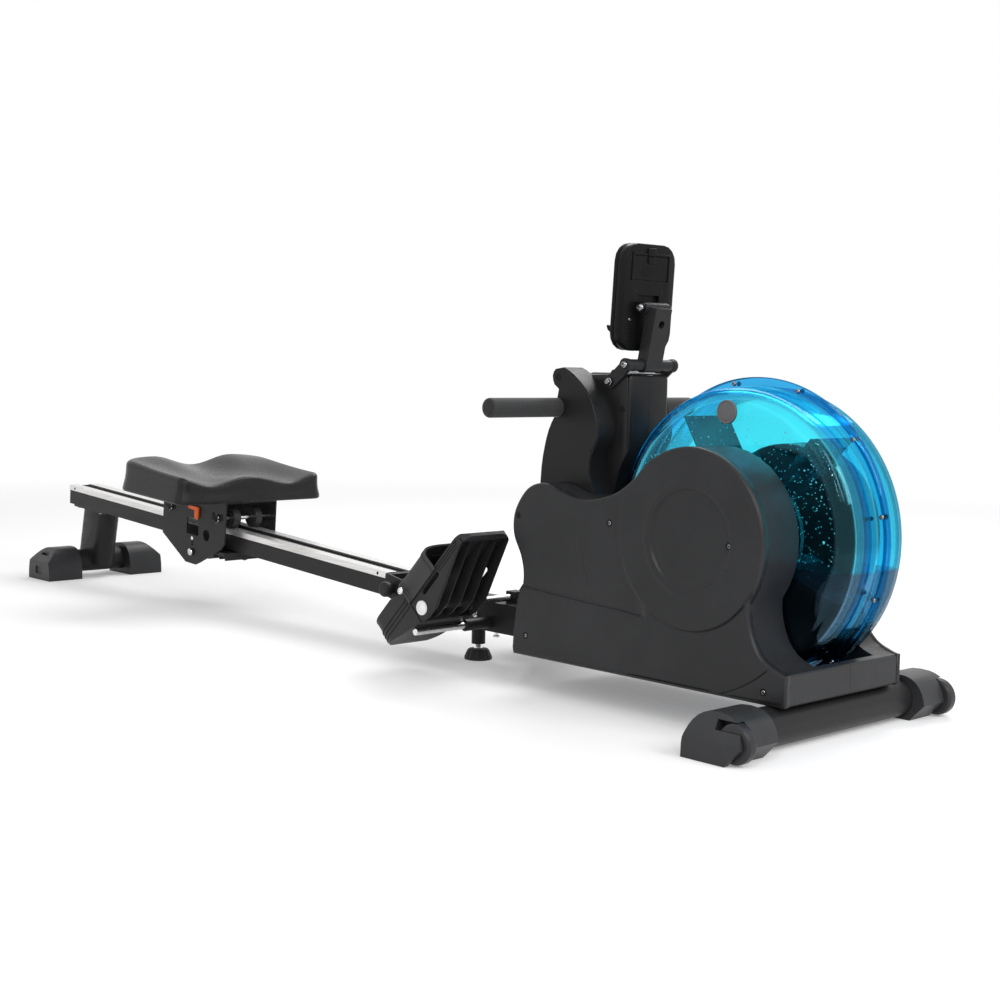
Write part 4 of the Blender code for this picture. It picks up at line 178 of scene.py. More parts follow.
class Shape:
    """Collects grids of points and their faces, and makes them one mesh piece."""

    def __init__(self):
        self.points, self.faces, self.uvs, self.count = [], [], [], 0

    def add(self, points, faces, uvs):
        """Faces are lists of indices, and uvs holds one pair for each corner of each face."""
        self.points.append(np.asarray(points, float).reshape(-1, 3))
        self.faces += [[i + self.count for i in face] for face in faces]
        self.uvs.append(np.asarray(uvs, float).reshape(-1, 2))
        self.count += len(self.points[-1])
        return self

    def grid(self, points, wrap_rows=False, caps=True):
        """A grid of points (rows, columns, xyz): a quad between each four neighbours. The last column joins the
        first, wrap_rows joins the last row to the first, and caps closes both of them with a face each. The faces
        are turned outwards by the sign of the volume that they close."""
        p = np.asarray(points, float)
        rows, columns = p.shape[:2]
        r = np.arange(rows if wrap_rows else rows - 1)[:, None]
        c = np.arange(columns)[None, :]
        corners = [(r, c), (r, c + 1), (r + 1, c + 1), (r + 1, c)]
        quads = np.stack([(a % rows) * columns + b % columns for a, b in corners], axis=-1).reshape(-1, 4)
        along = np.linalg.norm(p - np.roll(p, 1, axis=0), axis=2).mean(axis=1)
        across = np.linalg.norm(p - np.roll(p, 1, axis=1), axis=2).mean(axis=0)
        u = np.cumsum(np.concatenate([[0], along[1:], along[:1]]))
        v = np.cumsum(np.concatenate([[0], across[1:], across[:1]]))
        uv = np.stack([np.stack(np.broadcast_arrays(u[a], v[b]), axis=-1) for a, b in corners],
                      axis=2).reshape(-1, 4, 2)
        flat = p.reshape(-1, 3)
        centre = flat.mean(axis=0)
        a, b, c, d = (flat[quads[:, i]] - centre for i in range(4))
        volume = (np.einsum("ij,ij->i", a, np.cross(b, c)) + np.einsum("ij,ij->i", a, np.cross(c, d))).sum()
        ends = []
        if caps:
            ends = [list(range(columns))[::-1], list(range((rows - 1) * columns, rows * columns))]
            for end in ends:
                ring = flat[end] - centre
                middle = ring.mean(axis=0)
                volume += np.einsum("ij,ij->i", np.broadcast_to(middle, ring.shape),
                                    np.cross(ring, np.roll(ring, -1, axis=0))).sum()
        if volume < 0:
            quads, uv, ends = quads[:, ::-1], uv[:, ::-1], [end[::-1] for end in ends]
        uvs = np.concatenate([uv.reshape(-1, 2), np.zeros((sum(len(end) for end in ends), 2))])
        return self.add(flat, quads.tolist() + ends, uvs)

    def lathe(self, profile, centre, axis=(0, -1, 0), steps=48):
        """A profile of (radius, height along the axis) turned round it: p = centre + h a + r (cos t e + sin t f).
        A profile that doesn't start and end on the axis is closed into a ring."""
        profile = np.asarray(profile, float)
        a = unit(np.asarray(axis, float))
        e = unit(np.cross(a, (0.0, 0.0, 1.0) if abs(a[2]) < 0.9 else (1.0, 0.0, 0.0)))
        ring = circle(e, np.cross(a, e), steps)
        points = np.asarray(centre) + profile[:, 1, None, None] * a + profile[:, 0, None, None] * ring
        solid = profile[0, 0] < 1e-9 and profile[-1, 0] < 1e-9
        return self.grid(points, wrap_rows=not solid, caps=False)

    def both_sides(self, profile, *places, tilt=STRAIGHT, steps=24):
        """The same lathe on both sides of the machine, at places of x, distance from the middle plane, and z."""
        for side, _ in SIDES:
            for x, y, z in places:
                self.lathe(profile, placed((x, side * y, z), tilt), (0, side, 0), steps)
        return self

    def plate(self, outline, low, high, edge, plane="XZ", tilt=STRAIGHT):
        """An outline in a plane, carried from low to high across it, with edges rounded by quarter circles."""
        a = np.linspace(0, math.pi / 2, 4)
        insets = np.concatenate([edge * (1 - np.sin(a)), edge * (1 - np.cos(a))])
        levels = np.concatenate([low + edge * (1 - np.cos(a)), high - edge * (1 - np.sin(a))])
        rings = np.stack([np.column_stack([grown(outline, -inset), np.full(len(outline), level)])
                          for inset, level in zip(insets, levels)])
        order = {"XZ": [0, 2, 1], "XY": [0, 1, 2], "YZ": [2, 0, 1]}[plane]
        return self.grid(placed(rings[..., order], tilt))

    def tube(self, path, radius, steps=10):
        """A circle carried along a path: each ring stands square to the path's direction there."""
        ahead = unit(np.gradient(path, axis=0))
        guide = np.where(np.abs(ahead[:, 2:]) < 0.9, (0.0, 0.0, 1.0), (1.0, 0.0, 0.0))
        e = unit(np.cross(ahead, guide))
        return self.grid(path[:, None] + radius * circle(e, np.cross(ahead, e), steps))

    def make(self, name, smooth=40.0):
        """The mesh object, with its doubles merged and its edges above an angle kept sharp."""
        mesh = bpy.data.meshes.new(name)
        mesh.from_pydata(np.concatenate(self.points).tolist(), [], self.faces)
        mesh.uv_layers.new(name="UVMap").data.foreach_set("uv", np.concatenate(self.uvs).ravel())
        shape = bmesh.new()
        shape.from_mesh(mesh)
        bmesh.ops.remove_doubles(shape, verts=shape.verts, dist=2e-6)
        shape.to_mesh(mesh)
        shape.free()
        mesh.shade_smooth()
        mesh.set_sharp_from_angle(angle=math.radians(smooth))
        obj = bpy.data.objects.new(name, mesh)
        bpy.context.scene.collection.objects.link(obj)
        return obj

    def piece(self, name, body, finish, *nodes, slot=None, smooth=40.0):
        """Makes the mesh object and dresses it."""
        return dress(self.make(name, smooth), body, finish, *nodes, slot=slot)


def dress(obj, body, finish, *nodes, slot=None):
    """Gives a new piece its finish and its body, and lets it stand for the CAD nodes that are named."""
    obj.data.materials.append(FINISHES[finish])
    if nodes:
        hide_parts(*nodes)
    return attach(obj, body)


def screw_profile(radius, height, socket=0.5):
    """A domed head with a round socket, from the middle of the socket to the seat."""
    return [(0, 0.35 * height), (socket * radius, 0.35 * height), (socket * radius, 0.95 * height),
            (0.72 * radius, 0.9 * height), (0.92 * radius, 0.6 * height), (radius, 0.2 * height), (radius, 0), (0, 0)]


def disc_profile(radius, height, bevel):
    """A flat disc whose edge slopes down to its seat."""
    return [(0, height), (radius - bevel, height), (radius, 0), (0, 0)]


def hex_outline(x, z, radius):
    """A nut's outline: six sides with softened corners."""
    return round_corners(arc(x, z, radius, 0, 300, 5), radius * 0.12, 2)


# ---------------------------------------------------------------- materials

class Value:
    """A shader socket with Python's operators: each one adds a Math node."""

    def __init__(self, tree, socket):
        self.tree, self.socket = tree, socket

    def maths(self, operation, *values):
        """A Math node on values, which are sockets or numbers."""
        return self.tree.node("Math", {"operation": operation}, dict(enumerate(values)))

    def __add__(self, other):
        return self.maths("ADD", self, other)

    def __radd__(self, other):
        return self.maths("ADD", other, self)

    def __sub__(self, other):
        return self.maths("SUBTRACT", self, other)

    def __rsub__(self, other):
        return self.maths("SUBTRACT", other, self)

    def __mul__(self, other):
        return self.maths("MULTIPLY", self, other)

    def __rmul__(self, other):
        return self.maths("MULTIPLY", other, self)

    def __pow__(self, other):
        return self.maths("POWER", self, other)

    def above(self, low, high):
        """0 below low, 1 above high and a smooth step between."""
        return self.tree.node("MapRange", {"interpolation_type": "SMOOTHSTEP"},
                              {"Value": self, "From Min": low, "From Max": high})


class Finish:
    """A material, or the world, whose nodes are added one by one."""

    def __init__(self, name, library="materials"):
        self.owner = getattr(bpy.data, library).new(name)
        self.owner.use_nodes = True
        self.nodes, self.links = self.owner.node_tree.nodes, self.owner.node_tree.links
        self.nodes.clear()
        self.output = "OutputWorld" if library == "worlds" else "OutputMaterial"

    def node(self, kind, settings=None, inputs=None, output=0):
        """Adds a node: its settings first, then the values or links of its sockets. Returns one output."""
        made = self.nodes.new("ShaderNode" + kind)
        for key, value in (settings or {}).items():
            setattr(made, key, value)
        for key, value in (inputs or {}).items():
            socket = made.inputs[key]
            if isinstance(value, Value):
                self.links.new(value.socket, socket)
            elif socket.type == "RGBA" and len(value) == 3:
                socket.default_value = (*value, 1)
            else:
                socket.default_value = value
        return Value(self, made.outputs[output]) if made.outputs else None

    def place(self, scale=(1, 1, 1), turn=(0, 0, 0), coordinate="Object"):
        """Object or UV coordinates, turned and scaled by a Mapping node."""
        source = self.node("TexCoord", output=coordinate)
        return self.node("Mapping", None, {"Vector": source, "Rotation": turn, "Scale": scale})

    def noise(self, place, scale, detail=3.0, roughness=0.5):
        """Cloudy noise from 0 to 1: scale counts its clouds on a metre, detail its finer layers."""
        return self.node("TexNoise", None, {"Vector": place, "Scale": scale, "Detail": detail,
                                            "Roughness": roughness})

    def cells(self, place, scale, feature="F1"):
        """Cells: the distance to the nearest one's middle, or with another feature to its edge."""
        return self.node("TexVoronoi", {"feature": feature}, {"Vector": place, "Scale": scale})

    def mix(self, factor, first, second):
        """A colour between two, by a factor from 0 to 1."""
        return self.node("Mix", {"data_type": "RGBA"}, {0: factor, 6: first, 7: second}, output=2)

    def blend(self, factor, first, second):
        """A shader between two, by a factor from 0 to 1."""
        return self.node("MixShader", None, {0: factor, 1: first, 2: second})

    def bump(self, height, depth):
        """A normal that follows a height from 0 to 1, and depth is what 1 stands for in metres."""
        return self.node("Bump", None, {"Height": height, "Distance": depth})

    def principled(self, **sockets):
        """The Principled shader, with its sockets under short names."""
        names = {"colour": "Base Color", "rough": "Roughness", "metal": "Metallic", "normal": "Normal",
                 "coat": "Coat Weight", "coat_rough": "Coat Roughness", "specular": "Specular IOR Level",
                 "sheen": "Sheen Weight", "sheen_rough": "Sheen Roughness"}
        return self.node("BsdfPrincipled", None, {names[key]: value for key, value in sockets.items()})

    def done(self, shader):
        """Links the shader to the output and returns the material or the world."""
        self.node(self.output, None, {"Surface": shader})
        return self.owner


def shade(colour, share):
    """A colour made darker or lighter by a share."""
    return tuple(min(1.0, c * share) for c in colour)


def moulded(name, colour, rough, grain=900.0, depth=0.00006, specular=0.20):
    """Moulded plastic: a fine spark-eroded grain, faint flow marks in its colour and smudges in its gloss."""
    f = Finish(name)
    place = f.place()
    marks = f.noise(place, 9.0, 4.0, 0.6)
    smudge = f.noise(place, 26.0, 5.0, 0.65)
    fine = f.noise(place, grain, 2.0)
    cell = f.cells(place, grain * 0.45)
    tone = f.mix(marks.above(0.3, 0.7), shade(colour, 0.88), shade(colour, 1.14))
    tone = f.mix(fine.above(0.55, 0.75) * 0.25, tone, shade(colour, 1.5))
    normal = f.bump(fine * 0.6 + cell * 0.5, depth)
    gloss = smudge.above(0.35, 0.75) * 0.12 + fine * 0.06 + (rough - 0.08)
    return f.done(f.principled(colour=tone, rough=gloss, normal=normal, specular=specular))


def painted_steel(name, colour, rough):
    """Powder-coated steel: orange peel of two sizes, a few lighter rubs and dust in its gloss."""
    f = Finish(name)
    place = f.place()
    peel = f.noise(place, 420.0, 2.0, 0.4)
    pits = f.noise(place, 1500.0, 1.0)
    rubs = f.noise(f.place(scale=(1, 1, 5)), 14.0, 6.0, 0.7)
    tone = f.mix(rubs.above(0.58, 0.80) * 0.5, colour, shade(colour, 1.9))
    tone = f.mix(pits.above(0.60, 0.70) * 0.3, tone, shade(colour, 2.2))
    normal = f.bump(peel + pits * 0.4, 0.00008)
    return f.done(f.principled(colour=tone, rough=rubs.above(0.4, 0.8) * 0.15 + rough, normal=normal, specular=0.17))


def plated_steel(name, colour):
    """Bright plated steel with fine scratches and a little haze."""
    f = Finish(name)
    place = f.place()
    haze = f.noise(place, 60.0, 4.0, 0.6)
    scratch = f.noise(f.place(scale=(30, 1, 30)), 90.0, 2.0)
    tone = f.mix(haze.above(0.45, 0.7), colour, shade(colour, 0.82))
    gloss = haze.above(0.4, 0.8) * 0.12 + scratch.above(0.55, 0.7) * 0.08 + 0.14
    return f.done(f.principled(colour=tone, rough=gloss, metal=1.0, normal=f.bump(scratch, 0.00001)))


def brushed_strip(name, colour):
    """Stainless strip, brushed along its length: long streaks in its colour, gloss and height, and roller marks."""
    f = Finish(name)
    turn = (0, math.radians(-RAIL[2]), 0)
    streak = f.noise(f.place(scale=(2.0, 260.0, 260.0), turn=turn), 5.0, 4.0, 0.65)
    wear = f.noise(f.place(scale=(1.2, 60.0, 8.0), turn=turn), 3.0, 3.0, 0.6)
    tone = f.mix(streak.above(0.35, 0.65), shade(colour, 0.80), shade(colour, 1.06))
    tone = f.mix(wear.above(0.52, 0.72) * 0.55, tone, (0.50, 0.46, 0.42))
    gloss = streak * 0.20 + wear.above(0.45, 0.7) * 0.12 + 0.18
    return f.done(f.principled(colour=tone, rough=gloss, metal=0.85, normal=f.bump(streak, 0.00003)))


def foam_rubber(name, colour):
    """Closed-cell foam or rubber: small cells, a matt skin and a soft sheen."""
    f = Finish(name)
    place = f.place()
    cell = f.cells(place, 620.0)
    fine = f.noise(place, 1400.0, 2.0)
    wide = f.noise(place, 22.0, 3.0)
    tone = f.mix(cell.above(0.2, 0.8), shade(colour, 1.25), shade(colour, 0.75))
    tone = f.mix(wide.above(0.4, 0.7) * 0.4, tone, shade(colour, 1.3))
    normal = f.bump(cell * 0.7 + fine * 0.4, 0.00015)
    return f.done(f.principled(colour=tone, rough=wide * 0.1 + 0.75, normal=normal, sheen=0.15, sheen_rough=0.5,
                               specular=0.35))


def seat_skin(name, colour):
    """Moulded polyurethane: a dark skin with a pebbled leather grain of two sizes, with painted shade in its valleys,
    and smooth enough to shine at a flat angle."""
    f = Finish(name)
    place = f.place()
    pebble = f.cells(place, 520.0, "SMOOTH_F1")
    crease = f.cells(place, 330.0, "DISTANCE_TO_EDGE")
    fine = f.noise(place, 1300.0, 2.0)
    wide = f.noise(place, 11.0, 4.0, 0.6)
    # Painted shade: the colour darkens towards the edges of the grain's cells, which are its low valleys
    tone = f.mix(crease.above(0.0, 0.12), shade(colour, 0.72), colour)
    tone = f.mix(wide.above(0.40, 0.70) * 0.5, tone, shade(colour, 1.25))
    height = crease.above(0.0, 0.2) * 0.7 + pebble * 0.3 + fine * 0.2
    return f.done(f.principled(colour=tone, rough=wide.above(0.35, 0.7) * 0.06 + 0.25, normal=f.bump(height, 0.00011),
                               specular=0.22, sheen=0.06, sheen_rough=0.3))


def webbing(name, colour):
    """Woven strap: warp and weft that pass over each other, with painted shade where they lie low, read from the
    strap's own UV map in metres.
    """
    f = Finish(name)
    place = f.place(coordinate="UV")
    warp = f.node("TexWave", {"bands_direction": "X"}, {"Vector": place, "Scale": 130.0})
    weft = f.node("TexWave", {"bands_direction": "Y"}, {"Vector": place, "Scale": 130.0})
    fray = f.noise(place, 900.0, 3.0)
    cloth = warp * weft * 0.6 + fray * 0.3
    # Painted shade: the colour darkens where the weave lies low, between the threads
    tone = f.mix(cloth.above(0.1, 0.6), shade(colour, 0.6), shade(colour, 1.5))
    return f.done(f.principled(colour=tone, rough=fray * 0.15 + 0.72, normal=f.bump(cloth, 0.0003), sheen=0.3,
                               sheen_rough=0.4, specular=0.3))


def ribbed_rubber(name, colour):
    """Moulded strap rubber with very fine ribs across it, with painted shade in their troughs, from its own UV map in
    metres, and a dusty skin.
    """
    f = Finish(name)
    place = f.place(coordinate="UV")
    ribs = f.node("TexWave", {"bands_direction": "Y", "wave_profile": "SIN"}, {"Vector": place, "Scale": 210.0})
    fine = f.noise(f.place(), 1100.0, 2.0)
    dust = f.noise(f.place(), 40.0, 4.0, 0.6)
    # Painted shade: the colour darkens in the troughs between the ribs; the lighter dust after it is the skin's own
    tone = f.mix(ribs.above(0.1, 0.7), shade(colour, 0.7), shade(colour, 1.2))
    tone = f.mix(dust.above(0.5, 0.8) * 0.3, tone, shade(colour, 1.8))
    return f.done(f.principled(colour=tone, rough=dust * 0.12 + 0.48, normal=f.bump(ribs + fine * 0.3, 0.00012),
                               specular=0.4))


def clear_shell(name, tint, haze, extra, deep=None, flange=None, wetted=None, level=0.0, wave_depth=0.0004):
    """Clear blow-moulded plastic: light goes straight through and takes the tint, and the rest mirrors, more at a
    flat angle. The deep tint shows where the wall is seen edge on, the flange one round the seam, and the wetted
    one on the drum below a level. Faint waves in its skin, and a trace of scuffing."""
    f = Finish(name)
    place = f.place()

    def clear(colour):
        return f.node("BsdfTransparent", None, {"Color": colour})

    through = clear(tint)
    edge = f.node("LayerWeight", None, {"Blend": 0.5}, output=1)**1.9
    if deep:
        through = f.blend(edge, through, clear(deep))
        y, z = (f.node("SeparateXYZ", None, {0: place}, output=i) for i in (1, 2))
        across = y - TANK_Y
        drum = across.maths("ABSOLUTE", across).above(FLANGE_THICK, FLANGE_THICK + 0.002)
        under = 1 - z.above(level - 0.0006, level + 0.0006)
        through = f.blend(drum * under, through, clear(wetted))
        through = f.blend(1 - drum, through, clear(flange))
    scuff = f.noise(place, 70.0, 5.0, 0.7)
    normal = f.bump(f.noise(place, 7.0, 0.0), wave_depth)
    glance = f.node("Fresnel", None, {"IOR": 1.5, "Normal": normal})
    rim = (0.42, 0.74, 0.88)
    tone = f.mix(edge, rim, f.mix(scuff.above(0.5, 0.8), haze, shade(haze, 1.15)))
    mirror = f.principled(colour=tone, rough=scuff.above(0.45, 0.8) * 0.012 + 0.045, metal=1.0, normal=normal)
    share = glance.maths("MINIMUM", glance * 0.56 + scuff.above(0.55, 0.85) * 0.01 + extra, 1.0)
    return f.done(f.blend(share, through, mirror))


def tinted_paddle(name, colour):
    """Dark tinted paddle plastic, wet: flow marks and a gloss that varies with the film of water on it."""
    f = Finish(name)
    place = f.place()
    film = f.noise(place, 34.0, 4.0, 0.6)
    drops = f.cells(place, 120.0)
    tone = f.mix(film.above(0.4, 0.7), shade(colour, 0.6), shade(colour, 1.5))
    return f.done(f.principled(colour=tone, rough=film.above(0.3, 0.7) * 0.2 + 0.10,
                               normal=f.bump(film * 0.5 + (1 - drops) * 0.2, 0.0006), specular=0.5))


def display_glass(name):
    """A blank liquid crystal display behind clear plastic: a pale green-grey field with a dark border."""
    f = Finish(name)
    grain = f.noise(f.place(), 500.0, 2.0)
    tone = f.mix(grain.above(0.3, 0.7), (0.16, 0.19, 0.16), (0.20, 0.23, 0.19))
    return f.done(f.principled(colour=tone, rough=grain * 0.05 + 0.08, coat=1.0, coat_rough=0.03,
                               normal=f.bump(grain, 0.00002)))


def make_finishes(settings, water_height):
    """All the machine's finishes by name."""
    black, steel = tuple(settings.plastic_colour), tuple(settings.steel_colour)
    return {
        "casing": moulded("casing_plastic", shade(black, 1.25), 0.34),
        "plastic": moulded("black_plastic", black, 0.44, 1100.0),
        # Painted shade: the monitor's plastic is the black plastic at 0.35 of its brightness, for its side that faces
        # away from the lights
        "monitor": moulded("monitor_plastic_painted_shade", shade(black, 0.35), 0.32, 1500.0, 0.00005, specular=0.09),
        "pedal": moulded("pedal_plastic", shade(black, 1.15), 0.46, 800.0, 0.00010),
        # Painted light: the caps' plastic is the black plastic made 1.7 times lighter, for their ends that face the
        # lights
        "cap": moulded("cap_plastic_painted_light", shade(black, 1.7), 0.40, 1000.0, specular=0.26),
        "column": moulded("column_plastic", shade(black, 0.62), 0.40, 1100.0, specular=0.17),
        "steel": painted_steel("powder_coat", steel, 0.36),
        "chrome": plated_steel("plated_steel", (0.72, 0.72, 0.73)),
        "screw": plated_steel("screw_steel", (0.26, 0.26, 0.27)),
        "strip": brushed_strip("brushed_strip", tuple(settings.strip_colour)),
        "foam": foam_rubber("grip_foam", (0.020, 0.020, 0.021)),
        "strap_rubber": ribbed_rubber("strap_rubber", (0.022, 0.022, 0.023)),
        "webbing": webbing("pull_webbing", (0.030, 0.030, 0.032)),
        "seat": seat_skin("seat_skin", tuple(settings.seat_colour)),
        "tank": clear_shell("tank_plastic", tuple(settings.tank_colour), (0.02, 0.66, 0.88), 0.0,
                            deep=(0.05, 0.58, 0.90), flange=(0.20, 0.66, 0.90), wetted=(0.60, 0.61, 0.68),
                            level=water_height),
        "water": clear_shell("tank_water", (0.95, 0.96, 0.98), (0.62, 0.66, 0.76), 0.02, wave_depth=0.0001),
        # Painted glints: the drops are opaque pale cyan plastic, bright under any light, in place of clear water
        "drops": moulded("condensed_drops_painted_glint", (0.60, 0.97, 1.0), 0.12, specular=0.5),
        "paddle": tinted_paddle("paddle_plastic", (0.012, 0.035, 0.050)),
        "grey": moulded("grey_plastic", (0.10, 0.10, 0.105), 0.5, 1200.0),
        "pale": moulded("pale_plastic", (0.72, 0.72, 0.73), 0.35, 1400.0),
        "roller": moulded("roller_urethane", (0.025, 0.025, 0.027), 0.35, 1600.0),
        "orange": moulded("orange_plastic", tuple(settings.lever_colour), 0.38, 1300.0),
        # Near-black: the own colour of the black screws, nuts and display border, and painted shade in holes and slots
        "dark": moulded("black_and_hole_shade", (0.004, 0.004, 0.005), 0.7, 900.0),
        "screen": display_glass("display_glass"),
    }


FINISHES = {}


# ---------------------------------------------------------------- settings

def colour(name, description, default):
    """A setting that holds a colour."""
    return bpy.props.FloatVectorProperty(name=name, description=description, default=default, subtype="COLOR",
                                         min=0, max=1)


def length(name, description, default, low=0.0):
    """A setting that holds a length in metres."""
    return bpy.props.FloatProperty(name=name, description=description, default=default, min=low, unit="LENGTH")


class RowerFinishSettings(bpy.types.PropertyGroup):
    plastic_colour: colour("Plastic", "Colour of the moulded covers", (0.0145, 0.0148, 0.0158))
    steel_colour: colour("Powder coat", "Colour of the painted steel", (0.0150, 0.0150, 0.0160))
    seat_colour: colour("Seat", "Colour of the seat's skin", (0.0095, 0.0090, 0.0088))
    strip_colour: colour("Rail strips", "Colour of the stainless strips", (0.80, 0.79, 0.78))
    tank_colour: colour("Tank", "Tint that each face of the tank gives", (0.50, 0.972, 1.0))
    lever_colour: colour("Lever", "Colour of the seat's lock lever", (0.80, 0.13, 0.015))


class RowerEdgeSettings(bpy.types.PropertyGroup):
    small: length("Edge", "Radius of the edges of the pieces that stay", 0.0007)
    cover: length("Cap edge", "Radius of the edges of the front foot's caps", 0.0025)


class RowerSeatSettings(bpy.types.PropertyGroup):
    rounding: length("Top edge", "Radius of the cushion's upper edge", 0.011, 0.001)
    draw_in: length("Draw-in", "How far the sides lean in towards the top", 0.006)
    hollow: length("Hollow", "Depth of the seat's hollow", 0.010)


class RowerTankSettings(bpy.types.PropertyGroup):
    water_height: length("Water line", "Height of the water above the floor", 0.236, 0.1)
    ripple: length("Ripple", "Height of the waves on the water", 0.0012)
    drops: bpy.props.IntProperty(name="Drops", description="Drops of water on the inside of the tank",
                                 default=620, min=0)
    bolts: bpy.props.IntProperty(name="Bolts", description="Bolts round the tank's flange", default=12, min=3)


class RowerCasingSettings(bpy.types.PropertyGroup):
    edge: length("Edge", "Radius of the casing's outer edge", 0.0042, 0.001)
    relief: length("Relief", "Height of the drum's face above the waist", 0.0050, 0.0005)


class RowerStageSettings(bpy.types.PropertyGroup):
    floor_colour: colour("Floor", "Colour of the studio floor", (0.96, 0.96, 0.965))
    key_power: bpy.props.FloatProperty(name="Key light", description="Power of the large soft light",
                                       default=66.0, min=0.0, unit="POWER")
    sky: bpy.props.FloatProperty(name="Fill", description="Strength of the even light from all round",
                                 default=0.58, min=0.0, subtype="FACTOR")


# ---------------------------------------------------------------- kept CAD nodes

# The finish of each CAD node that stays, and the nodes with the larger edge
KEPT = {
    "casing": ("casing_right", "casing_left"),
    "plastic": ("strap_spool", "guide_pulley", "strap_clamp", "guide_block"),
    "cap": ("foot_cap_right", "foot_cap_left", "rear_cap_right", "rear_cap_left"),
    "column": ("column_right", "column_left"),
    "monitor": ("console_back", "console_front", "battery_cover"),
    "pedal": ("pedal_right", "pedal_left", "heel_cup_right", "heel_cup_left"),
    "steel": ("main_frame", "front_foot_tube", "console_bracket", "console_arm", "rail_beam", "rail_hinge_fork",
              "rear_leg", "seat_carriage", "handle_bar"),
    "chrome": ("impeller_shaft", "shaft_bearing", "pedal_axle", "pedal_stop_rod", "rail_pivot_bolt", "axle_front",
               "axle_rear"),
    "strip": ("rail_strip_right", "rail_strip_left"),
    "foam": ("button_mode", "button_set", "button_reset"),
    "paddle": ("impeller",),
    "orange": ("seat_lock_lever",),
}
COVER_EDGES = ("foot_cap_right", "foot_cap_left")


class ROWER_OT_kept_nodes(bpy.types.Operator):
    """Rounds the edges of the CAD pieces that stay, shades them smooth and gives them their finishes"""
    bl_idname = "rower.kept_nodes"
    bl_label = "Finish the frame"

    def execute(self, context):
        scene = context.scene
        FINISHES.update(make_finishes(scene.rower_finishes, scene.rower_tank.water_height))
        for finish, names in KEPT.items():
            for name in names:
                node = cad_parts[name]
                mesh = node.data
                if "custom_normal" in mesh.attributes:
                    mesh.attributes.remove(mesh.attributes["custom_normal"])
                mesh.shade_smooth()
                mesh.materials.clear()
                mesh.materials.append(FINISHES[finish])
                weld = node.modifiers.new("weld", "WELD")
                weld.merge_threshold = 0.00001
                flat = node.modifiers.new("flat_faces", "DECIMATE")
                flat.decimate_type = "DISSOLVE"
                flat.angle_limit = math.radians(1.0)
                bevel = node.modifiers.new("edges", "BEVEL")
                bevel.width = scene.rower_edges.cover if name in COVER_EDGES else scene.rower_edges.small
                bevel.segments = 3 if name in COVER_EDGES else 2
                bevel.limit_method = "ANGLE"
                bevel.angle_limit = math.radians(38)
                bevel.harden_normals = True
        return {"FINISHED"}


# ---------------------------------------------------------------- seat cushion

def pad_rim(inset):
    """The cushion's plan outline, moved inwards: four straight sides and four round corners, two sizes of them."""
    front, rear, half = PAD["front"] - inset, PAD["rear"] + inset, PAD["half"] - inset
    small, big = 0.024 - inset, 0.045 - inset
    corners = [arc(x, y, radius, start, start + 90, 8) for x, y, radius, start in (
        (front - small, -half + small, small, -90), (front - small, half - small, small, 0),
        (rear + big, half - big, big, 90), (rear + big, -half + big, big, 180))]
    sides = [np.linspace(corners[i][-1], corners[(i + 1) % 4][0], count + 2)[1:-1]
             for i, count in enumerate((22, 14, 18, 14))]
    return np.concatenate([part for pair in zip(corners, sides) for part in pair])


def pad_height(x, y, hollow):
    """The crown: a cosine wave across it makes two thigh grooves at the front and two humps at the rear, an eased
    step leads from one to the other, and a squared sine makes the hollow between them."""
    groove = 0.095
    y = np.abs(y)
    wave = 0.5 - 0.5 * np.cos(np.pi * np.minimum(y / groove, 1))
    outer = ease((y - groove) / (PAD["half"] - groove))
    front = 0.111 - 0.016 * wave + 0.018 * outer
    rear = 0.106 + 0.020 * wave - 0.005 * outer
    t = (PAD["front"] - x) / (PAD["front"] - PAD["rear"])
    dip = hollow * np.sin(np.pi * np.clip(t, 0, 1))**2 * np.cos(np.pi * np.clip(y / PAD["half"], 0, 1) / 2)
    return front + (rear - front) * ease(t) - dip


class ROWER_OT_seat_cushion(bpy.types.Operator):
    """Builds the moulded seat cushion with its crown, drawn-in sides and lower lip"""
    bl_idname = "rower.seat_cushion"
    bl_label = "Seat cushion"

    def execute(self, context):
        s = context.scene.rower_seat
        bottom, lip = PAD["bottom"], 0.009
        rings = []
        for inset, up in ((0.0045, 0.0), (0.0018, 0.0008), (0.0004, 0.0026), (0.0, 0.0050), (0.0006, lip)):
            rim = pad_rim(inset)
            rings.append(np.column_stack([rim, np.full(len(rim), bottom + up)]))
        top = pad_rim(s.draw_in)
        top_z = pad_height(top[:, 0], top[:, 1], s.hollow) - s.rounding
        for share in (0.35, 0.6, 0.82, 1.0):
            rim = pad_rim(s.draw_in * (0.12 + 0.88 * share**0.8) + 0.0012 * math.sin(math.pi * share))
            rings.append(np.column_stack([rim, bottom + lip + (top_z - bottom - lip) * share]))
        for turn in np.radians(np.linspace(0, 90, 7))[1:]:
            rim = pad_rim(s.draw_in + s.rounding * (1 - math.cos(turn)))
            height = pad_height(rim[:, 0], rim[:, 1], s.hollow) - s.rounding * (1 - math.sin(turn))
            rings.append(np.column_stack([rim, height]))
        middle = np.array([(PAD["front"] + PAD["rear"]) / 2, 0.0])
        rim = pad_rim(s.draw_in + s.rounding)
        for share in np.linspace(0.95, 0.02, 26):
            ring = middle + (rim - middle) * share
            rings.append(np.column_stack([ring, pad_height(ring[:, 0], ring[:, 1], s.hollow)]))
        seat = Shape().grid(placed(np.stack(rings), RAIL)).make("seat_cushion", 60)
        dress(seat, "seat", "seat", "seat_pad")
        return {"FINISHED"}


# ---------------------------------------------------------------- casing

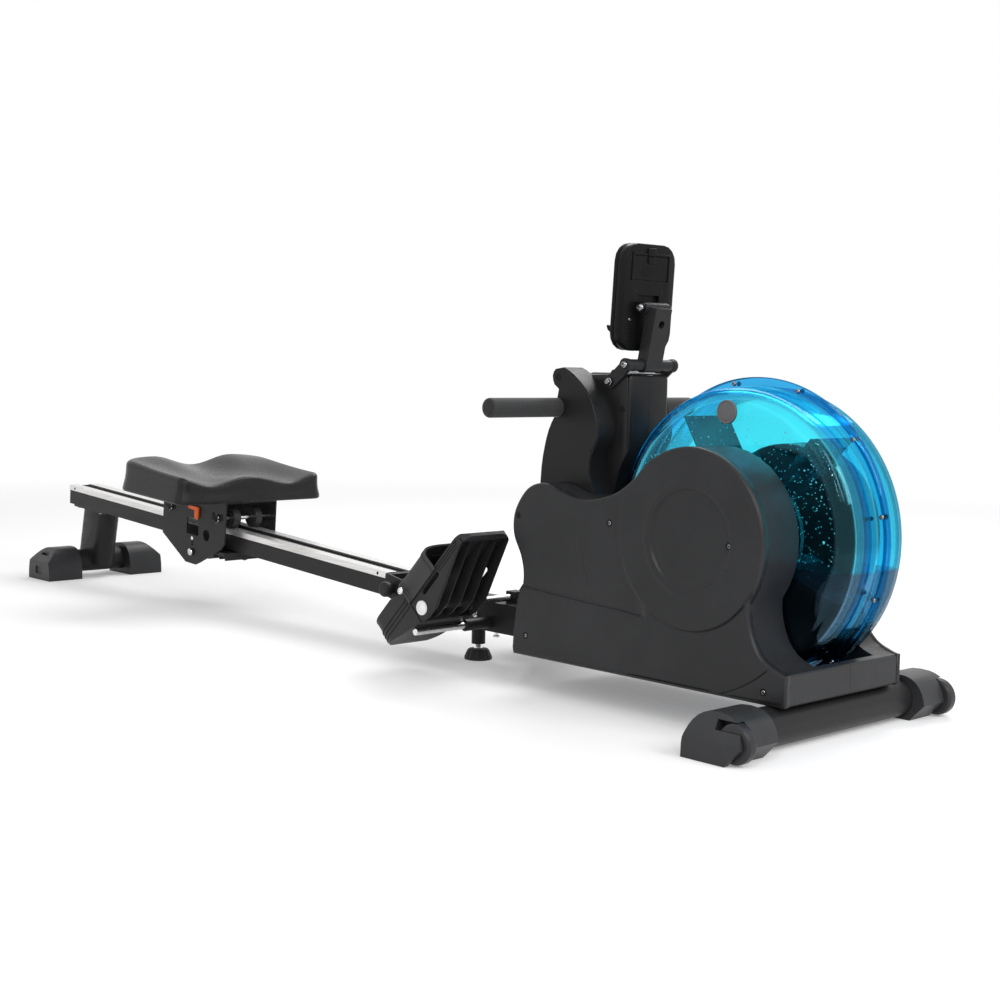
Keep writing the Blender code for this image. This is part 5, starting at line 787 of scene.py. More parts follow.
def casing_outline():
    """The casing's side outline: curves through the rear, base and front points, and an arc round the drum."""
    per_span = 8
    on_drum = [arc(*DRUM, DRUM_RADIUS, a, a, 1)[0] for a in (121.5, 141.5, -35.5, -20.5)]
    rear = smooth_through([on_drum[0], on_drum[1], *REAR_CURVE, REAR_BOTTOM, (REAR_BOTTOM[0], 0)], per_span)
    corner = 0.004
    base = [(REAR_BOTTOM[0] + corner / 2, CASING_BOTTOM), (CASING_FRONT - corner, CASING_BOTTOM),
            (CASING_FRONT - corner / 3, CASING_BOTTOM + corner / 3), (CASING_FRONT, CASING_BOTTOM + corner)]
    front = smooth_through([(CASING_FRONT + 0.02, BASE_TOP), (CASING_FRONT, BASE_TOP), *FRONT_CURVE, on_drum[2],
                            on_drum[3]], per_span)
    drum = arc(*DRUM, DRUM_RADIUS, -35.5, 141.5, 72)[1:-1]
    return np.concatenate([rear, base, front, drum])


# The crease in the casing's side, the radius of the drum's lower edge and that of the skirt's arc
CREASE = ((-0.3235, 0.1570), (-0.3410, 0.2060), (-0.3540, 0.2680))
DRUM_EDGE, SKIRT_ARC = 0.1283, 0.2165


def groove_lines():
    """The lines that the casing's side is cut along: the ledge, the drum's lower edge, the skirt's arc, a crease and
    the dish's rim."""
    x = np.linspace(-0.474, -0.218, 120)
    ledge = np.column_stack([x, np.interp(x, *np.array(LEDGE).T)])
    z = np.linspace(0.160, 0.266, 50)
    crease = np.column_stack([np.interp(z, *np.array(CREASE).T[::-1]), z])
    return [ledge, arc(*DRUM, DRUM_EDGE, -124, -24, 110), arc(*DRUM, SKIRT_ARC, -85, -44, 70), crease,
            arc(*DRUM, 0.0705, 0, 357, 119)]


def casing_relief(x, z, height):
    """How far the casing's side stands out, from its place: the drum's face, a waist that leans in towards a ledge,
    a skirt below it, the round dish with its lip, and fine grooves, each a bell curve of the distance to its line."""
    radius = np.hypot(x - DRUM[0], z - DRUM[1])
    angle = np.degrees(np.arctan2(z - DRUM[1], x - DRUM[0]))
    line = np.interp(x, *np.array(LEDGE).T)
    # The waist, deepest just above the ledge, and the lower band under the drum
    outside = ease((radius - 0.128) / 0.002)
    fade = 1 - ease((x + 0.232) / 0.016)
    above = ease((z - line) / 0.0012)
    scoop = np.exp(-np.maximum(z - line, 0) / 0.030) * above * fade * outside
    drum = ease((radius - 0.1270) / 0.0020) * ease((-angle - 24) / 10) * ease((angle + 124) / 12)
    h = 1.0 - 0.80 * scoop - 0.45 * drum
    # A step behind the first crease, and a soft dent along the second
    first = np.interp(z, *np.array(CREASE).T[::-1])
    over = ease((z - line) / 0.004) * outside
    h -= 0.22 * over * ease((first + 0.001 - x) / 0.002) * (1 - ease((z - 0.225) / 0.045)) * ease((x + 0.47) / 0.09)
    second = np.interp(z, (0.182, 0.218, 0.272, 0.331), (-0.241, -0.265, -0.275, -0.277))
    h -= 0.12 * over * np.exp(-((x - second) / 0.004)**2) * (1 - ease((z - 0.29) / 0.04))

    def cut(distance, width, depth):
        """A groove: a bell curve of the distance to its line."""
        return depth * np.exp(-(distance / width)**2)

    # The grooves: along the ledge, under the drum, on the skirt and along the first crease
    h -= cut(z - line + 0.0006, 0.0011, 0.28) * fade * outside
    h -= cut(radius - DRUM_EDGE, 0.0011, 0.34) * ease((-angle - 26) / 8) * ease((angle + 122) / 8)
    h -= cut(radius - SKIRT_ARC, 0.0009, 0.24) * ease((angle + 84) / 6) * ease((-45 - angle) / 4)
    h -= cut(x - first, 0.0009, 0.16) * over * (1 - ease((z - 0.245) / 0.020))
    # The dish, the lip round it, and its face
    dish = 1 - ease((radius - 0.0680) / 0.0050)
    lip = np.exp(-((radius - 0.0780) / 0.0026)**2) * 0.24
    rise = (1 - ease((radius - 0.0590) / 0.0060)) * 0.10
    return height * (np.maximum(h, 0.08) + lip + rise) - 0.0036 * dish


class ROWER_OT_casing_panels(bpy.types.Operator):
    """Builds the relief of the casing's two sides over the CAD shells, with their rolled edges and screws"""
    bl_idname = "rower.casing_panels"
    bl_label = "Casing panels"

    def panel(self, name, side, s):
        """A height field over the outline: a square grid of points cut to it, with rows of points along each
        groove, and rolled rings round its edge."""
        outline = grown(casing_outline(), SKIN)
        surface = CASING_HALF + SKIN
        rings = []
        for turn in np.radians(np.linspace(0, 90, 7)):
            ring = grown(outline, -s.edge * (1 - math.cos(turn)))
            out = casing_relief(ring[:, 0], ring[:, 1], s.relief) - s.edge * (1 - math.sin(turn))
            rings.append(np.column_stack([ring[:, 0], side * (surface + out), ring[:, 1]]))
        back = np.column_stack([outline[:, 0], np.full(len(outline), side * (CASING_HALF - 0.0085)), outline[:, 1]])
        inner = rings[-1][:, [0, 2]]
        step, beside, groove_gap, rim_gap = 0.0042, 0.0033, 0.0052, 0.0024
        low, high = inner.min(axis=0), inner.max(axis=0)
        gx, gz = np.meshgrid(np.arange(low[0], high[0], step), np.arange(low[1], high[1], step))
        field = np.column_stack([gx.ravel(), gz.ravel()])
        rows = []
        for line in groove_lines():
            ahead = unit(np.gradient(line, axis=0))
            across = np.column_stack([ahead[:, 1], -ahead[:, 0]])
            rows += [line + across * offset for offset in np.linspace(-beside, beside, 9)]
            near = ((field[:, None] - line[None])**2).sum(axis=2).min(axis=1)
            field = field[near > groove_gap**2]
        field = np.concatenate([field, *rows])
        inside = np.zeros(len(field), bool)
        clear = np.full(len(field), np.inf)
        for p, q in zip(inner, np.roll(inner, -1, axis=0)):
            crosses = (p[1] > field[:, 1]) != (q[1] > field[:, 1])
            with np.errstate(divide="ignore", invalid="ignore"):
                inside ^= crosses & (field[:, 0] < (q[0] - p[0]) * (field[:, 1] - p[1]) / (q[1] - p[1]) + p[0])
            clear = np.minimum(clear, np.hypot(field[:, 0] - p[0], field[:, 1] - p[1]))
        field = field[inside & (clear > rim_gap)]
        corners = [Vector(q) for q in np.concatenate([inner, field])]
        edges = [(i, (i + 1) % len(inner)) for i in range(len(inner))]
        found, _, faces, *_ = geometry.delaunay_2d_cdt(corners, edges, [], 1, 1e-7)
        flat = np.array([tuple(q) for q in found])
        out = casing_relief(flat[:, 0], flat[:, 1], s.relief)
        points = np.column_stack([flat[:, 0], side * (surface + out), flat[:, 1]])
        faces = [list(face) if side < 0 else list(face)[::-1] for face in faces]
        shape = Shape().add(placed(points), faces, np.zeros((sum(len(face) for face in faces), 2)))
        shape.grid(placed(np.stack([back] + rings)), caps=False)
        panel = shape.make(name, 50)
        check = bmesh.new()
        check.from_mesh(panel.data)
        bmesh.ops.recalc_face_normals(check, faces=check.faces)
        if sum(f.normal.y * side * f.calc_area() for f in check.faces) < 0:
            bmesh.ops.reverse_faces(check, faces=check.faces)
        check.to_mesh(panel.data)
        check.free()
        wall = panel.modifiers.new("wall", "SOLIDIFY")
        wall.thickness, wall.offset = 0.0006, -1.0
        dress(panel, "frame", "casing")

    def execute(self, context):
        s = context.scene.rower_casing
        for side, label in SIDES:
            self.panel("casing_panel_" + label, side, s)

        def stands(x, z):
            """How far from the middle plane the casing's side is at a place."""
            return CASING_HALF + SKIN + float(casing_relief(np.array(x), np.array(z), s.relief))

        seats = [(x, stands(x, z) - 0.0016, z)
                 for x, z in ((-0.293, 0.281), (-0.071, 0.268), (-0.465, 0.091), (-0.007, 0.077))]
        screws = Shape().both_sides(screw_profile(0.0034, 0.0022), *seats, steps=20)
        screws.piece("casing_screws", "frame", "screw")
        # Painted shade: near-black collars round the screws and a near-black disc for the hole at the rear stand for
        # the shade in these hollows
        collar = [(0.0036, 0), (0.0036, 0.0018), (0.0052, 0.0022), (0.0056, 0.0014), (0.0056, 0)]
        blind_hole = [(0, 0), (0, 0.0004), (0.0052, 0.0004), (0.0058, 0)]
        holes = Shape().both_sides(collar, *seats)
        holes.both_sides(blind_hole, (-0.486, stands(-0.488, 0.277) - 0.0002, 0.277))
        holes.piece("casing_screw_seats", "frame", "dark")
        return {"FINISHED"}


# ---------------------------------------------------------------- tank

def tank_profile():
    """The wall as a closed ring of (radius, distance from the seam): on each side a flat face that bulges a little,
    a quarter circle at the shoulder, the drum wall and a flange with a bead, a fine groove between the two halves,
    and the same inside it. The right side, at negative distances, has the bearing's hole."""
    depth, wall, shoulder = TANK_HALF, TANK_WALL, TANK_SHOULDER
    middle = np.linspace(FLANGE_THICK + 0.009, depth - shoulder - 0.004, 5)
    flange = [(FLANGE_RADIUS - 0.0014, 0.0), (FLANGE_RADIUS - 0.0012, 0.0003), (FLANGE_RADIUS, 0.0012),
              (FLANGE_RADIUS, FLANGE_THICK - 0.0015), (FLANGE_RADIUS - 0.0015, FLANGE_THICK),
              (TANK_RADIUS + 0.0035, FLANGE_THICK), (TANK_RADIUS + 0.0012, FLANGE_THICK + 0.0012),
              (TANK_RADIUS, FLANGE_THICK + 0.004)]
    drum = [(TANK_RADIUS, t) for t in middle]
    bend = [tuple(q) for q in arc(TANK_RADIUS - shoulder, depth - shoulder, shoulder, 0, 88, 10)]
    inner_bend = [tuple(q) for q in arc(TANK_RADIUS - shoulder, depth - shoulder, shoulder - wall, 88, 0, 10)]

    def flat(hole):
        """The side face from the shoulder in to a radius, bulged by a parabola."""
        return [(r, depth - 0.0012 * (r / TANK_RADIUS)**2 * (r > 0.03))
                for r in np.linspace(TANK_RADIUS - shoulder - 0.008, hole, 8)]

    def inside(hole):
        """The inner face of one half, from the hole out to the seam."""
        cylinder = [(TANK_RADIUS - wall, t) for t in middle[::-1]]
        return [(r, t - wall) for r, t in flat(hole)[::-1]] + inner_bend + cylinder

    left = flange + drum + bend + flat(0.0) + inside(0.0)
    right = flange[1:] + drum + bend + flat(BEARING_HOLE) + inside(BEARING_HOLE)
    return np.array(left + [(r, -t) for r, t in right[::-1]])


class ROWER_OT_tank_shells(bpy.types.Operator):
    """Builds the clear tank, the bolts round its flange and the filler plug"""
    bl_idname = "rower.tank_shells"
    bl_label = "Tank shells"

    def execute(self, context):
        s = context.scene.rower_tank
        centre = placed((DRUM[0], TANK_Y, DRUM[1]))
        shell = Shape().lathe(tank_profile(), centre, (0, 1, 0), 160)
        shell.piece("tank_shell", "frame", "tank", "tank_right", "tank_left", smooth=30)
        bolts = Shape()
        bolt_circle, first = 0.2212, 11
        for x, z in arc(*DRUM, bolt_circle, first, first + 360, s.bolts)[:-1]:
            for side, _ in SIDES:
                seat = placed((x, TANK_Y + side * (FLANGE_THICK + 0.0001), z))
                bolts.lathe(screw_profile(0.0038, 0.0028, 0.45), seat, (0, side, 0), 14)
        bolts.piece("tank_bolts", "frame", "screw")
        face = placed((DRUM[0], TANK_Y - TANK_HALF - 0.0003, DRUM[1] + PLUG_ORBIT))
        profile = round_corners([(0, 0.0050), (0.0120, 0.0050), (0.0127, 0.0042), (0.0142, 0.0042), (0.0150, 0.0050),
                                 (0.0170, 0.0046), (0.0170, 0), (0.0100, 0), (0.0100, -0.0040), (0, -0.0040)],
                                0.0006, 3, closed=False)
        Shape().lathe(profile, face).piece("filler_plug", "fill_plug", "grey", "fill_plug")
        return {"FINISHED"}


class ROWER_OT_tank_water(bpy.types.Operator):
    """Fills the tank with water up to its line, with waves on it, and puts drops on the inside of the wall"""
    bl_idname = "rower.tank_water"
    bl_label = "Water"

    def execute(self, context):
        # A lathe inside the tank's wall, each ring of it cut off by the water line: its arc runs below the line from
        # one shore to the other, and the way back is the chord, with three sine waves on it that die out at the shores
        s = context.scene.rower_tank
        gap = 0.0006
        radius, half = (outside - TANK_WALL - gap for outside in (TANK_RADIUS, TANK_HALF))
        shoulder = TANK_SHOULDER - TANK_WALL
        turn = np.linspace(0, math.pi / 2, 7)
        reach = np.concatenate([-half + shoulder * (1 - np.cos(turn)),
                                np.linspace(-half + shoulder, half - shoulder, 14)[1:-1],
                                half - shoulder + shoulder * np.sin(turn)])
        size = np.concatenate([radius - shoulder + shoulder * np.sin(turn), np.full(12, radius),
                               radius - shoulder + shoulder * np.cos(turn)])
        drop = s.water_height - DRUM[1]
        start = math.pi - np.arcsin(drop / size)
        end = 2 * math.pi + np.arcsin(drop / size)
        a = start[:, None] + (end - start)[:, None] * np.linspace(0, 1, 72)[None, :]
        under = np.stack([DRUM[0] + size[:, None] * np.cos(a), np.broadcast_to(TANK_Y + reach[:, None], a.shape),
                          DRUM[1] + size[:, None] * np.sin(a)], axis=-1)
        chord = np.linspace(1, -1, 44)[1:-1]
        x = DRUM[0] + chord[None, :] * np.sqrt(size**2 - drop**2)[:, None]
        y = np.broadcast_to(TANK_Y + reach[:, None], x.shape)
        wave = s.ripple * (np.sin(95 * x + 40 * y) * np.cos(70 * y) + 0.5 * np.sin(210 * x - 90 * y))
        top = np.stack([x, y, s.water_height + wave * (1 - chord**2)], axis=-1)
        water = Shape().grid(placed(np.concatenate([under, top], axis=1)))
        water.piece("tank_water", "frame", "water", smooth=30)
        self.drops(s)
        return {"FINISHED"}

    def drops(self, s):
        """Flattened domes on the inner wall, at random places above the water and clear of the plug: each is four
        rings of seven points, ever smaller and further from the wall."""
        seed = np.random.default_rng(7)
        count = s.drops
        # Two clouds, in front of the plug and behind it, by the middle and the spread of their angles
        front = count * 2 // 3
        angle = np.radians(np.concatenate([seed.normal(28, 34, front), seed.normal(150, 26, count - front)]))
        orbit = seed.uniform(0.085, 0.186, count)
        size = seed.uniform(0.0004, 0.0010, count) * np.where(seed.random(count) > 0.92, 2, 1)
        wall = TANK_Y - TANK_HALF + TANK_WALL + 0.0010
        shore, plug = 0.006, 0.022
        keep = DRUM[1] + orbit * np.sin(angle) > s.water_height + shore
        keep &= np.hypot(orbit * np.cos(angle), orbit * np.sin(angle) - PLUG_ORBIT) > plug
        angle, orbit, size = angle[keep], orbit[keep], size[keep]
        ring = circle(np.array([1.0, 0.0, 0.0]), np.array([0.0, 0.0, 1.0]), 7)
        levels = ((1, -0.35), (0.92, 0.15), (0.5, 0.52), (0.02, 0.60))
        dome = np.stack([ring * share + (0, out, 0) for share, out in levels])
        centres = np.stack([DRUM[0] + orbit * np.cos(angle), np.full(len(orbit), wall),
                            DRUM[1] + orbit * np.sin(angle)], axis=1)
        shape = Shape()
        for centre, radius in zip(centres, size):
            shape.grid(placed(centre + dome * radius))
        # The drops take the pale cyan finish, a painted glint
        shape.piece("condensed_drops_painted_glint", "frame", "drops", smooth=60)


# ---------------------------------------------------------------- foot plates

class ROWER_OT_foot_straps(bpy.types.Operator):
    """Builds the rubber straps over the foot plates, with their raised borders, buckles and bolts"""
    bl_idname = "rower.foot_straps"
    bl_label = "Foot straps"

    def arch(self, centre, lift):
        """The strap's inner face, or a line some lift above it, from one edge of the bed over to the other, as
        (y, up) points: a superellipse of power 0.6 that bulges 13 mm past the bed, on two short upright feet."""
        a = np.linspace(0, math.pi, 61)
        half, rise, bulge, power = PEDAL_HALF + 0.0003 + lift, 0.038 + lift, 0.013, 0.6
        y = (half + bulge * np.sin(a)) * np.sign(np.cos(a)) * np.abs(np.cos(a))**power
        up = PEDAL_BED + rise * np.abs(np.sin(a))**power
        foot = np.linspace(PEDAL_BED - 0.007, PEDAL_BED, 5)[:-1]
        y = np.concatenate([np.full(4, half), y, np.full(4, -half)])
        up = np.concatenate([foot, up, foot[::-1]])
        return np.column_stack([centre + y, up])

    def band(self, shape, centre, start, end, low, high, edge):
        """A rounded strip section carried along the arch between two heights above its inner face."""
        inner, outer = self.arch(centre, low), self.arch(centre, high)
        section = [(start + edge, 0.0), (end - edge, 0.0), (end, 0.5), (end - edge, 1.0)]
        section += [(x, 1.0) for x in np.linspace(end - edge, start + edge, 22)[1:-1]]
        section += [(start + edge, 1.0), (start, 0.5)]
        points = np.stack([np.stack([np.full(len(inner), x), *(inner + (outer - inner) * t).T], axis=1)
                           for x, t in section], axis=1)
        shape.grid(placed(points, PEDAL))

    def execute(self, context):
        for side, label in SIDES:
            centre = side * PEDAL_Y
            strap = Shape()
            self.band(strap, centre, -0.018, 0.070, 0.0, 0.0025, 0.001)
            for start, end in ((-0.018, -0.013), (0.065, 0.070), (-0.0095, -0.0070), (0.0590, 0.0615)):
                self.band(strap, centre, start, end, 0.0022, 0.0036, 0.0005)
            body = label + "_pedal"
            strap.piece("foot_strap_band_" + label, body, "strap_rubber", "foot_strap_" + label, smooth=35)
            buckle = Shape()
            top = PEDAL_BED + 0.0410
            for start, end, half, high in ((0.006, 0.046, 0.020, 0.0042), (0.012, 0.040, 0.014, 0.0056)):
                buckle.plate(rectangle(start, end, centre - half, centre + half, 0.005), top - 0.004, top + high,
                             0.0012, "XY", PEDAL)
            for x in (0.016, 0.022, 0.028, 0.034):
                buckle.plate(rectangle(x, x + 0.0025, centre - 0.011, centre + 0.011, 0.001), top + 0.004,
                             top + 0.0064, 0.0006, "XY", PEDAL)
            buckle.piece("strap_buckle_" + label, body, "plastic")
            bolts = Shape()
            for edge in (-1, 1):
                seat = placed((-0.0095, centre + edge * (PEDAL_HALF + 0.0131), 0.0440), PEDAL)
                bolts.lathe(screw_profile(0.0058, 0.0045), seat, (0, edge, 0), 28)
            bolts.piece("strap_bolts_" + label, body, "chrome")
        return {"FINISHED"}


class ROWER_OT_foot_plates(bpy.types.Operator):
    """Adds the treads of the foot plates, the ribs of the heel cups and the plain hub discs"""
    bl_idname = "rower.foot_plates"
    bl_label = "Foot plates"

    def execute(self, context):
        for side, label in SIDES:
            centre, body = side * PEDAL_Y, label + "_pedal"
            tread = Shape()
            for x in np.arange(0.006, 0.136, 0.013):
                wide = PEDAL_HALF - 0.012 - max(0.0, x - 0.118) * 0.9
                tread.plate(rectangle(x, x + 0.0055, centre - wide, centre + wide, 0.0025), PEDAL_BED - 0.001,
                            PEDAL_BED + 0.0016, 0.0007, "XY", PEDAL)
            tread.piece("tread_" + label, body, "pedal")
            ribs = Shape()
            half, corner, rear = PEDAL_HALF + 0.0002, HEEL_CORNER, HEEL_REAR
            side_x = np.linspace(-0.024, rear + corner, 8)[:-1]
            plan = np.concatenate([np.column_stack([side_x, np.full(7, half)]),
                                   arc(rear + corner, half - corner, corner, 90, 180, 9),
                                   arc(rear + corner, -half + corner, corner, 180, 270, 9),
                                   np.column_stack([side_x[::-1], np.full(7, -half)])])
            # Three ribs round the heel cup, three along each side of the plate that droop at its end, and the rim
            for up in (0.0215, 0.0290, 0.0365):
                path = np.column_stack([plan[:, 0], centre + plan[:, 1], np.full(len(plan), up)])
                ribs.tube(placed(path, PEDAL), 0.0014, 8)
            for edge in (-1, 1):
                for up, start in ((0.0262, 0.012), (0.0215, 0.020), (0.0168, 0.074)):
                    x = np.linspace(start, 0.136 - 0.55 * (0.0262 - up), 24)
                    droop = 0.0024 * ease((x - 0.124) / 0.024)
                    path = np.column_stack([x, np.full(24, centre + edge * half), up - droop])
                    ribs.tube(placed(path, PEDAL), 0.0013, 8)
            rim = np.column_stack([plan[:, 0], centre + plan[:, 1] * 0.965,
                                   0.0600 - 0.0105 * ease((plan[:, 0] + 0.055) / 0.030)])
            ribs.tube(placed(rim[2:-2], PEDAL), 0.0019, 8)
            ribs.piece("heel_ribs_" + label, body, "pedal")
            disc = Shape()
            for edge in (-1, 1):
                face = placed((0.0, centre + edge * (PEDAL_HALF + 0.0001), 0.0), PEDAL)
                disc.lathe([(0, 0.0030), (0.0078, 0.0030), (0.0086, 0.0024), (0.0098, 0.0024), (0.0106, 0.0032),
                            (0.0115, 0.0028), (0.0118, 0), (0, 0)], face, (0, edge, 0), 40)
            disc.piece("hub_disc_" + label, body, "pale")
        return {"FINISHED"}


# ---------------------------------------------------------------- handle

class ROWER_OT_handle(bpy.types.Operator):
    """Builds the foam grips of the handle, their end caps and the webbing that runs into the column"""
    bl_idname = "rower.handle"
    bl_label = "Handle and strap"

    def execute(self, context):
        bar, foam, inner, outer = 0.0124, 0.0150, 0.044, 0.231
        grip = round_corners([(bar, inner), (foam, inner), (foam, outer - 0.003), (0.0139, outer - 0.0008),
                              (bar, outer - 0.0008)], 0.0016, 4)
        cap = round_corners([(0, outer), (0.0095, outer), (0.0105, outer - 0.0006), (0.0130, outer - 0.0006),
                             (0.0130, outer - 0.008), (0, outer - 0.008)], 0.0006, 3, closed=False)
        for side, label in SIDES:
            middle, axis = placed((HANDLE[0], 0, HANDLE[1])), (0, side, 0)
            Shape().lathe(grip, middle, axis).piece("grip_foam_" + label, "handle", "foam", "handle_grip_" + label)
            Shape().lathe(cap, middle, axis, 40).piece("grip_cap_" + label, "handle", "plastic")
        # The webbing: a rounded section carried along a straight line
        start, end = -0.4105, HANDLE[0] + 0.0175
        half_width, half_thick = 0.017, 0.001
        section = round_corners(rectangle(-half_width, half_width, -half_thick, half_thick), 0.0007, 2)
        points = np.stack([np.column_stack([np.full(len(section), x), section]) for x in np.linspace(start, end, 60)])
        strap = Shape().grid(placed(points + (0, 0, HANDLE[1]))).make("pull_strap_webbing", 35)
        strap.data.materials.append(FINISHES["webbing"])
        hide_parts("pull_strap")
        tuple(placed((start, 0, HANDLE[1])))
        tuple(placed((end, 0, HANDLE[1])))
        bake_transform(strap)
        return {"FINISHED"}


# ---------------------------------------------------------------- monitor and column

class ROWER_OT_monitor(bpy.types.Operator):
    """Adds the monitor's display, its battery door's frame and latch, ribs, screws and pivot bolts"""
    bl_idname = "rower.monitor"
    bl_label = "Monitor"

    def execute(self, context):
        face, back = MONITOR_FACE, MONITOR_BACK

        def slab(shape, y_low, y_high, z_low, z_high, radius, low, high, edge):
            """A rounded plate that lies flat on the monitor, between two distances along its own x."""
            shape.plate(rectangle(y_low, y_high, z_low, z_high, radius), low, high, edge, "YZ", MONITOR)

        bezel, glass, trim, lid, screws, holes = (Shape() for _ in range(6))
        slab(bezel, -0.0465, 0.0465, -0.0170, 0.0830, 0.010, face - 0.0006, face + 0.002, 0.0008)
        slab(glass, -0.0400, 0.0400, -0.0100, 0.0760, 0.004, face - 0.0011, face + 0.001, 0.0004)
        bezel.piece("display_border", "console", "dark")
        glass.piece("display", "console", "screen")
        # The frame round the battery door, its latch, and two rows of ribs
        for y0, y1, z0, z1 in ((-0.0425, 0.0425, 0.0795, 0.0830), (-0.0425, -0.0390, 0.0405, 0.0800),
                               (0.0390, 0.0425, 0.0405, 0.0800)):
            slab(trim, y0, y1, z0, z1, 0.001, back - 0.001, back + 0.0022, 0.0008)
        slab(trim, -0.010, 0.010, 0.0790, 0.0905, 0.003, back - 0.004, back + 0.0036, 0.0012)
        for z in np.arange(-0.058, -0.016, 0.006):
            for y in (-0.044, 0.030):
                slab(trim, y, y + 0.014, z, z + 0.0022, 0.001, back - 0.001, back + 0.0009, 0.0004)
        trim.piece("monitor_trim", "console", "monitor")
        # The door's own grip: four ribs and a tab
        for z in (0.0475, 0.0515, 0.0555, 0.0595):
            slab(lid, -0.020, 0.020, z, z + 0.0018, 0.0008, back + 0.0006, back + 0.0018, 0.0005)
        slab(lid, -0.0085, 0.0085, 0.0670, 0.0770, 0.002, back + 0.0006, back + 0.0030, 0.0008)
        lid.piece("battery_door_grip", "battery_cover", "monitor")
        out = placed((1, 0, 0), (0, 0, MONITOR[2])) - ORIGIN
        # Painted shade: near-black discs stand for the shade in the screw holes of the monitor's back
        for y, z in ((-0.0445, 0.0730), (0.0445, 0.0730), (-0.0300, 0.0240), (0.0300, 0.0240), (0.0440, -0.040)):
            holes.lathe(disc_profile(0.0031, 0.0004, 0.0005), placed((back - 0.0001, y, z), MONITOR), out, 24)
        holes.piece("monitor_holes", "console", "dark")
        small = placed((back - 0.0002, -0.0400, -0.0190), MONITOR)
        screws.lathe(screw_profile(0.0026, 0.0014), small, out, 20)
        screws.both_sides(screw_profile(0.0066, 0.0052), (0, 0.0303, 0), tilt=MONITOR, steps=28)
        tab = round_corners([(face + 0.001, -0.0320), (face - 0.0125, -0.0290), (face - 0.0135, -0.0310),
                             (face - 0.0110, -0.0365), (face + 0.001, -0.0440)], 0.0015, 4)
        ledge = Shape().plate(tab, -0.050, 0.050, 0.0010, tilt=MONITOR)
        ledge.piece("monitor_ledge", "console", "monitor")
        screws.piece("monitor_screws", "console", "screw")
        return {"FINISHED"}


class ROWER_OT_column(bpy.types.Operator):
    """Adds the column's bolts, the ends of the bracket's tube, the hooks' holes and the rolled edge of its cheeks"""
    bl_idname = "rower.column"
    bl_label = "Column"

    def execute(self, context):
        x, z = COLUMN_BOLT
        pivot = (ARM[0], COLUMN_HALF, ARM[1])
        bolts, holes, roll = Shape(), Shape(), Shape()
        front = smooth_through([(-0.455, 0.508), (-0.437, 0.503), (-0.411, 0.486), (-0.387, 0.461), (-0.374, 0.432),
                                (-0.370, 0.412), (-0.373, 0.394), (-0.383, 0.376), (-0.387, 0.345),
                                (-0.380, 0.320)], 8)
        ahead = unit(np.gradient(front, axis=0))
        bead = front + np.column_stack([ahead[:, 1], -ahead[:, 0]]) * 0.0036
        for side, _ in SIDES:
            bolts.plate(hex_outline(x, z, 0.0068), *sorted((side * 0.0525, side * 0.0570)), 0.0006)
            roll.tube(placed(np.column_stack([bead[:, 0], np.full(len(bead), side * 0.0846), bead[:, 1]])), 0.0019)
        thread_end = [(0, 0.0050), (0.0035, 0.0050), (0.0040, 0.0044), (0.0040, 0), (0, 0)]
        bolts.both_sides(thread_end, (x, COLUMN_HALF, z), steps=20)
        bolts.both_sides(screw_profile(0.0060, 0.0040), pivot, steps=28)
        collar = [(0.0042, 0), (0.0042, 0.0010), (0.0052, 0.0010), (0.0058, 0)]
        # Painted shade: near-black discs and collars stand for the shade in the holes
        for place in ((-0.4580, 0.0846, 0.4915), (-0.357, 0.0476, 0.445)):
            holes.both_sides(disc_profile(0.0046, 0.0005, 0.0004), place)
            holes.both_sides(collar, place)
        wall = round_corners([(0.0090, -0.004), (0.0105, -0.004), (0.0105, 0.0004), (0.0090, 0.0004)], 0.0005, 2)
        ends = Shape().both_sides(wall, pivot, steps=32)
        roll.piece("cheek_beads", "frame", "column")
        bolts.piece("column_bolts", "frame", "screw")
        holes.piece("column_holes", "frame", "dark")
        ends.piece("bracket_tube_ends", "frame", "plastic")
        return {"FINISHED"}


# ---------------------------------------------------------------- rail, carriage and feet

class ROWER_OT_rail(bpy.types.Operator):
    """Adds the rail's small screws, its rear cap, the leg's bolts and the fold knob"""
    bl_idname = "rower.rail"
    bl_label = "Rail"

    def execute(self, context):
        screw = [(0, 0.0002), (0.0014, 0.0002), (0.0016, 0.0005), (0.0026, 0.0004), (0.0030, 0), (0, 0)]
        screws = Shape().both_sides(screw, (-0.026, 0.0367, -0.0062), (-1.162, 0.0367, -0.0062), tilt=RAIL, steps=20)
        screws.piece("strip_screws", "rail", "dark", slot="black_steel")
        beam_end = rectangle(-0.0338, 0.0338, -0.0432, -0.0025, 0.003)
        Shape().plate(beam_end, -1.1880, -1.1868, 0.0004, "YZ", RAIL).piece("rail_end_cap", "rail", "plastic")
        bolts = Shape()
        down = placed((0, 0, -1), (0, 0, RAIL[2])) - ORIGIN
        for along in (-1.164, -1.062):
            for y in (-0.022, 0.022):
                bolts.lathe(screw_profile(0.0060, 0.0045), placed((along, y, -0.0483), RAIL), down, 24)
        bolts.piece("leg_bolts", "rail", "chrome")
        tip, side = 0.0348, 0.0401
        collar, end = side + 0.006, side + 0.024
        profile = [(0, tip), (0.004, tip), (0.004, side), (0.009, side), (0.009, collar), (0.0105, collar + 0.0003),
                   (0.0132, collar + 0.0035), (0.0140, collar + 0.0070), (0.0140, end - 0.0060), (0.0128, end - 0.0022),
                   (0.0096, end - 0.0002), (0.0050, end), (0, end)]
        knob = Shape().lathe(round_corners(profile, 0.0012, 3, closed=False), placed((-0.913, 0, 0.104)), steps=40)
        knob.piece("fold_knob_ball", "fold_knob", "plastic", "fold_knob")
        return {"FINISHED"}


